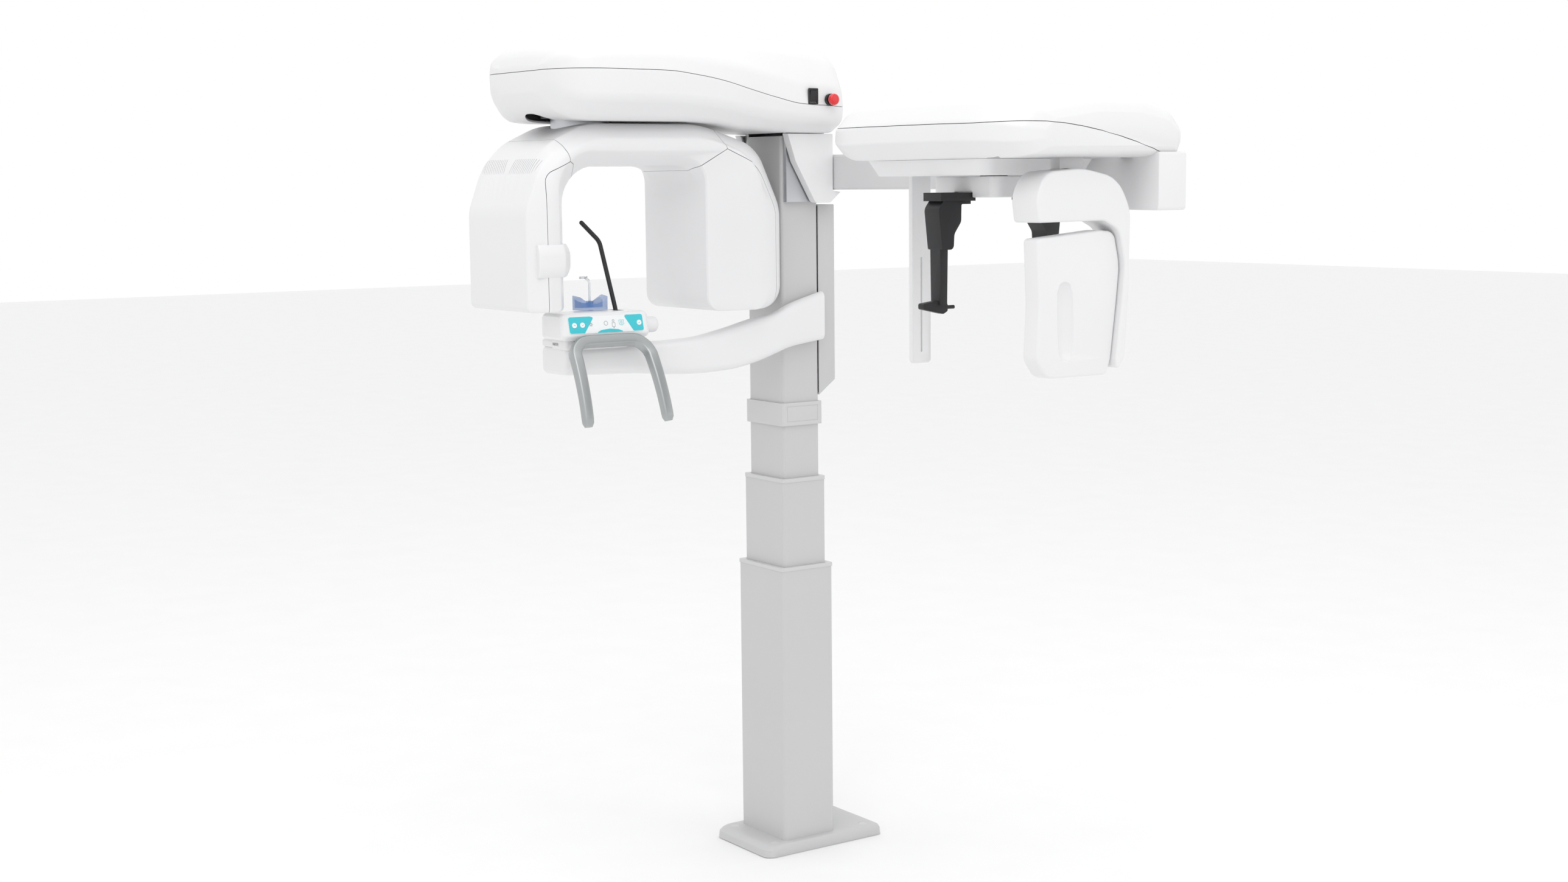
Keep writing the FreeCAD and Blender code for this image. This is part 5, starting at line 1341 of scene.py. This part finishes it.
@dataclass
class CephHead:
    """The side head: beam, covers, turntable pod, head holder and scanning sensor."""

    wall: float = 4.0
    height: float = 158.0
    seam_gap: float = 0.7
    # place from the left end, front, rear, underside and crown; heights above the underside
    knots: tuple[tuple[float, ...], ...] = (
        (0.0, -262.0, 100.0, 40.0, 100.0), (10.0, -284.0, 116.0, 34.0, 107.0),
        (30.0, -306.0, 130.0, 26.0, 118.0),
        (70.0, -334.0, 143.0, 10.0, 132.0), (130.0, -350.0, 145.0, 0.0, 146.0),
        (230.0, -350.0, 145.0, 0.0, 154.0),
        (400.0, -350.0, 145.0, 0.0, 158.0), (520.0, -350.0, 145.0, 0.0, 156.5),
        (600.0, -344.0, 145.0, 0.0, 148.0),
        (650.0, -326.0, 144.0, 2.0, 134.0), (675.0, -300.0, 138.0, 8.0, 118.0),
        (688.0, -262.0, 124.0, 20.0, 96.0))
    # places of the rings near each rounded end
    ease: tuple[float, ...] = (0.0, 0.9, 3.0, 6.5, 11.5, 18.0, 26.0, 36.0, 48.0, 62.0, 78.0, 96.0)
    # height above the pod's foot and share of its draft
    pod_rings: tuple[tuple[float, float], ...] = (
        (0.0, 1.06), (1.2, 0.97), (6.0, 0.84), (14.0, 0.62), (24.0, 0.32), (34.5, 0.0))
    hood: tuple[Corner, ...] = (
        (-243, 1674, 8), (-251, 1728, 60), (-226, 1778, 50), (-120, 1786, 200), (-22, 1766, 90),
        (16, 1700, 90),
        (12, 1520, 300), (2, 1385, 20), (-21, 1352, 7), (-24, 1380, 30), (-8, 1500, 300), (1, 1580, 120),
        (-16, 1655, 40), (-60, 1676, 40))
    sensor_side: tuple[Corner, ...] = (
        (-236, 1385, 40), (-206, 1347, 30), (-38, 1347, 12), (-25, 1381, 30), (-10, 1500, 300),
        (-1.5, 1580, 120),
        (-18, 1652, 24), (-60, 1655.5, 60), (-236, 1640, 9), (-229, 1500, 300))
    left: float = field(init=False)
    right: float = field(init=False)
    datum: float = field(init=False)

    def __post_init__(self) -> None:
        """Read the head's extent from its CAD covers."""
        low, high = span("ceph_top_cover", "ceph_bottom_cover")
        self.left, self.right, self.datum = low.x, high.x, high.z - self.height

    def build(self) -> None:
        """Every piece of the side head."""
        shell, core = self.shell(), self.shell(self.wall)
        top = Piece("side_head_top", shell.copy(), WHITE, 38.0).cored(core)
        top.within(self.seam(self.seam_gap, 400.0)).ride(Body.CARRIAGE, Slot.WHITE, "ceph_top_cover")
        beam_low, beam_high = span("ceph_beam")
        trench = block((self.left - 60, beam_low.y - 0.5, beam_low.z - 200),
                       (beam_high.x + 0.5, beam_high.y + 70, beam_high.z + 0.6), 0.05)
        strut_low, strut_high = span("ceph_scan_strut")
        mid, datum = (strut_low.x + strut_high.x) / 2, self.datum
        bottom = Piece("side_head_bottom", shell, WHITE, 38.0).cored(core)
        bottom.within(self.seam(-self.seam_gap, -400.0))
        bottom.without(trench, block((mid - 19, -314, datum - 10), (mid + 19, 64, datum + 10), 0.8),
                       block((700, -262, datum - 10), (722, -44, datum + 10), 0.8))
        bottom.ride(Body.CARRIAGE, Slot.WHITE, "ceph_bottom_cover")
        self.tail(beam_low, beam_high)
        self.pod()
        dress_nodes(BEAM_COAT, "ceph_beam")
        dress_nodes(STEEL, "ceph_scan_rail")
        soften_nodes(
            ("ear_rod_carrier", "holder_carrier", WHITE, 3.0, Body.HOLDER, Slot.WHITE),
            ("ear_rod_arm_front", "ear_arm_front", BLACK, 1.6, Body.EAR_FRONT, Slot.BLACK),
            ("ear_rod_arm_rear", "ear_arm_rear", BLACK, 1.6, Body.EAR_REAR, Slot.BLACK),
            ("ceph_collimator_plate", "slit_plate", WHITE, 0.8, Body.COLLIMATOR, Slot.WHITE),
            ("ceph_scan_strut", "scan_strut", WHITE, 1.2, Body.SCANNER, Slot.WHITE))
        self.sensor()

    def shell(self, wall: float = 0.0) -> bmesh.types.BMesh:
        """The head's skin, or the space a wall inside it, as one closed solid.

        Args:
            wall: Distance inside the skin.

        Returns:
            The closed solid.
        """
        length, edge = self.right - self.left, self.ease[-1]
        middle = steps_to(edge, length - edge, 22)[:-1]
        rings = []
        for place in [*self.ease, *middle, *(length - e for e in reversed(self.ease))]:
            if wall and not 14.0 < place < length - 14.0:
                continue
            near = max(0.0, 1.0 - min(place, length - place) / 9.0)
            ring = inset(self.section(*between(self.knots, place)), 2.5 * near * near + wall)
            rings.append([Vector((self.left + place, p.x, self.datum + p.y)) for p in ring])
        return skin(rings)

    def section(self, front: float, rear: float, under: float, crown: float) -> Ring:
        """One cross-section: bevelled underside, upright band and a crowned top.

        Args:
            front: Place of the front face.
            rear: Place of the rear face.
            under: Height of the underside.
            crown: Height of the crown.

        Returns:
            The closed outline.
        """
        share = (crown - under) / self.height
        low = under + 36.0 * share
        high = low + 37.0 * share
        brow = high + (crown - high) * 0.62
        return rounded([
            (front + 34 * share, under, 12 * share), (rear - 12, under, 12 * share), (rear, low, 14 * share),
            (rear, high, 40 * share), (rear - 34, brow, 60 * share), (rear - 110, crown - 3 * share, 90),
            (-110, crown, 300), (front + 124, crown - 9 * share, 120), (front + 36, brow, 50 * share),
            (front + 2, high + 4 * share, 22 * share), (front, low, 10 * share)], 6)

    def seam(self, gap: float, far: float) -> bmesh.types.BMesh:
        """The space above or below the seam between the covers, which drops towards the rear at the right.

        Args:
            gap: Distance from the seam line.
            far: How far the space reaches.

        Returns:
            The closed solid.
        """
        rows = ((self.left - 40, 73, 73), (self.right - 260, 73, 73), (self.right - 120, 72, 52),
                (self.right - 20, 74, 8), (self.right + 40, 74, -12))
        rings = []
        for x, front, rear in rows:
            line = []
            for y in (-400.0 + i * 50.0 for i in range(13)):
                share = max(0.0, min(1.0, (y + 281.0) / 381.0))
                line.append(Vector((x, y, self.datum + front + (rear - front) * share ** 1.8 + gap)))
            rings.append(line + [Vector((x, y, self.datum + far)) for y in (200.0, -400.0)])
        return skin(rings)

    def tail(self, beam_low: Vector, beam_high: Vector) -> None:
        """The tail of the lower cover, which wraps the end of the beam.

        Args:
            beam_low: The beam's lowest corner.
            beam_high: The beam's highest corner.
        """
        start, end, datum = self.right - 262, self.right, self.datum
        corners = [(start, datum - 111, 22), (end, datum - 113, 8), (end, datum + 12, 5),
                   (start, datum + 4, 5)]
        tail = Piece("side_head_tail", prism(Plane.XZ, rounded(corners, 6), 64, 145, 3.0), WHITE)
        tail.without(block((end - 400, beam_low.y - 0.4, beam_low.z - 0.4),
                           (beam_high.x + 0.6, beam_high.y + 60, beam_high.z + 60), 0.05))
        tail.ride(Body.CARRIAGE, Slot.WHITE)

    def pod(self) -> None:
        """The shallow pod that carries the turning head holder."""
        low, high = span("ceph_turntable_pod")
        rings = []
        for level, share in self.pod_rings:
            near = (low.x + 17 * share + 6, low.y + 16 * share)
            ring = oblong(near, (high.x - 14 * share, high.y - 15 * share), 34, steps=8)
            rings.append([Vector((p.x, p.y, low.z + level)) for p in ring])
        pod = Piece("turntable_pod", skin(rings), WHITE)
        pod.without(bore(30, -10, 60, Vector((975, -105, low.z)), Z_AXIS))
        pod.ride(Body.CARRIAGE, Slot.WHITE, "ceph_turntable_pod")

    def sensor(self) -> None:
        """The hooded sensor arm and the removable sensor."""
        low, high = span("ceph_sensor_arm")
        arm = Piece("sensor_arm", prism(Plane.YZ, rounded(self.hood, 7), low.x, high.x, 5.0, 5), WHITE, 40.0)
        arm.ride(Body.SCANNER, Slot.WHITE, "ceph_sensor_arm")
        low, high = span("ceph_sensor_cassette")
        solid = prism(Plane.YZ, rounded(self.sensor_side, 7), low.x, high.x, 6.0, 5)
        box = Piece("sensor_box", solid, WHITE, 40.0)
        grip = [(0.5, -92), (10, -90), (20, -82), (26, -66), (28, -30), (28, 30), (27, 60), (22, 78),
                (12, 88),
                (0.5, 91)]
        box.without(turned(grip, Vector((high.x + 16, -157, 1466)), Vector((0, -0.03, 1)), 36))
        box.ride(Body.SENSOR, Slot.WHITE, "ceph_sensor_cassette")


@dataclass
class Switchgear:
    """Mains rocker and emergency stop on the arm's flank, and the column's side covers."""

    # radius and distance behind the stop button's face
    stop: tuple[Spot, ...] = ((5.6, -13), (13.6, -13), (14.5, -11.4), (14.5, -6), (13.8, -3.4), (12.0, -1.5),
                                (9.0, -0.3), (5.0, 0.0), (0.4, 0.0))

    def build(self) -> None:
        """Softened from their solids, with a moulded ring on the stop button."""
        soften_nodes(
            ("mains_switch_bezel", "rocker_bezel", BLACK, 0.5, Body.CARRIAGE, Slot.BLACK),
            ("mains_rocker", "rocker_key", BLACK, 0.6, Body.ROCKER, Slot.BLACK),
            ("estop_collar", "stop_collar", BLACK, 0.6, Body.CARRIAGE, Slot.BLACK))
        low, high = span("estop_button")
        centre = Vector((high.x, (low.y + high.y) / 2, (low.z + high.z) / 2))
        cap = turned([(5.6, low.x - high.x), *self.stop], centre, X_AXIS)
        Piece("stop_cap", cap, RED).ride(Body.ESTOP, Slot.RED, "estop_button")
        for side in ("right", "left"):
            node = f"carriage_side_cover_{side}"
            soften_nodes((node, f"side_cheek_{side}", WHITE, 2.2, Body.CARRIAGE, Slot.WHITE))


@dataclass
class Studio:
    """Floor, light and camera."""

    place: Corner = (4.6224, -3.2048, 1.7637)
    azimuth: float = 55.275
    pitch: float = 6.912
    roll: float = -0.5672
    lens: float = 49.1
    film_width: float = 36.0
    floor_size: float = 30.0

    def build(self) -> None:
        """Set up the whole studio."""
        mesh = bmesh.new()
        bmesh.ops.create_grid(mesh, x_segments=8, y_segments=8, size=self.floor_size)
        floor = Piece("studio_floor", mesh, FLOOR).object
        floor.location = (0, 0, -0.0006)
        world = bpy.data.worlds.new("studio")
        bpy.context.scene.world = world
        bpy.context.scene.view_settings.view_transform = "Standard"
        world.use_nodes = True
        background = world.node_tree.nodes["Background"]
        background.inputs["Color"].default_value = (1.0, 1.0, 1.0, 1.0)
        background.inputs["Strength"].default_value = 1.0
        self.lamp("key", (3.2, -2.2, 5.2), (0.3, -0.2, 1.4), 3.4, 42.0)
        self.lamp("fill", (5.0, 2.6, 3.4), (0.4, 0.0, 1.4), 3.0, 12.0)
        self.lamp("top", (0.4, -0.2, 6.0), (0.4, -0.2, 0.0), 4.0, 40.0)
        self.camera()

    @staticmethod
    def lamp(name: str, place: Sequence[float], aim: Sequence[float], size: float, power: float) -> None:
        """One soft square light that points at a place.

        Args:
            name: Name of the lamp.
            place: Where it hangs, in metres.
            aim: What it points at.
            size: Side of the square.
            power: Its power in watts.
        """
        data = bpy.data.lights.new(name, "AREA")
        data.size, data.energy = size, power
        lamp = bpy.data.objects.new(name, data)
        lamp.location = place
        lamp.rotation_euler = (Vector(aim) - Vector(place)).to_track_quat("-Z", "Y").to_euler()
        bpy.context.scene.collection.objects.link(lamp)

    def camera(self) -> None:
        """The camera, turned by azimuth, pitch and roll."""
        a, e, r = math.radians(self.azimuth), math.radians(self.pitch), math.radians(self.roll)
        back = Vector((math.sin(a) * math.cos(e), -math.cos(a) * math.cos(e), math.sin(e)))
        right = Vector((math.cos(a), math.sin(a), 0.0))
        up = back.cross(right)
        across = right * math.cos(r) + up * math.sin(r)
        above = up * math.cos(r) - right * math.sin(r)
        data = bpy.data.cameras.new("view")
        data.lens, data.sensor_width = self.lens, self.film_width
        camera = bpy.data.objects.new("view", data)
        rows = Matrix((across, above, back)).transposed().to_4x4()
        camera.matrix_world = Matrix.Translation(Vector(self.place)) @ rows
        bpy.context.scene.collection.objects.link(camera)
        bpy.context.scene.camera = camera


def main() -> None:
    """Build every sub-assembly in order, logging the name of each."""
    logging.basicConfig(level=logging.INFO, format="%(message)s")
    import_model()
    for part in (Studio(), Foundation(), OverheadArm(), RotatingArm(), ChinRest(), CephHead(), Switchgear()):
        LOG.info("building %s", type(part).__name__)
        part.build()


if __name__ == "__main__":
    main()
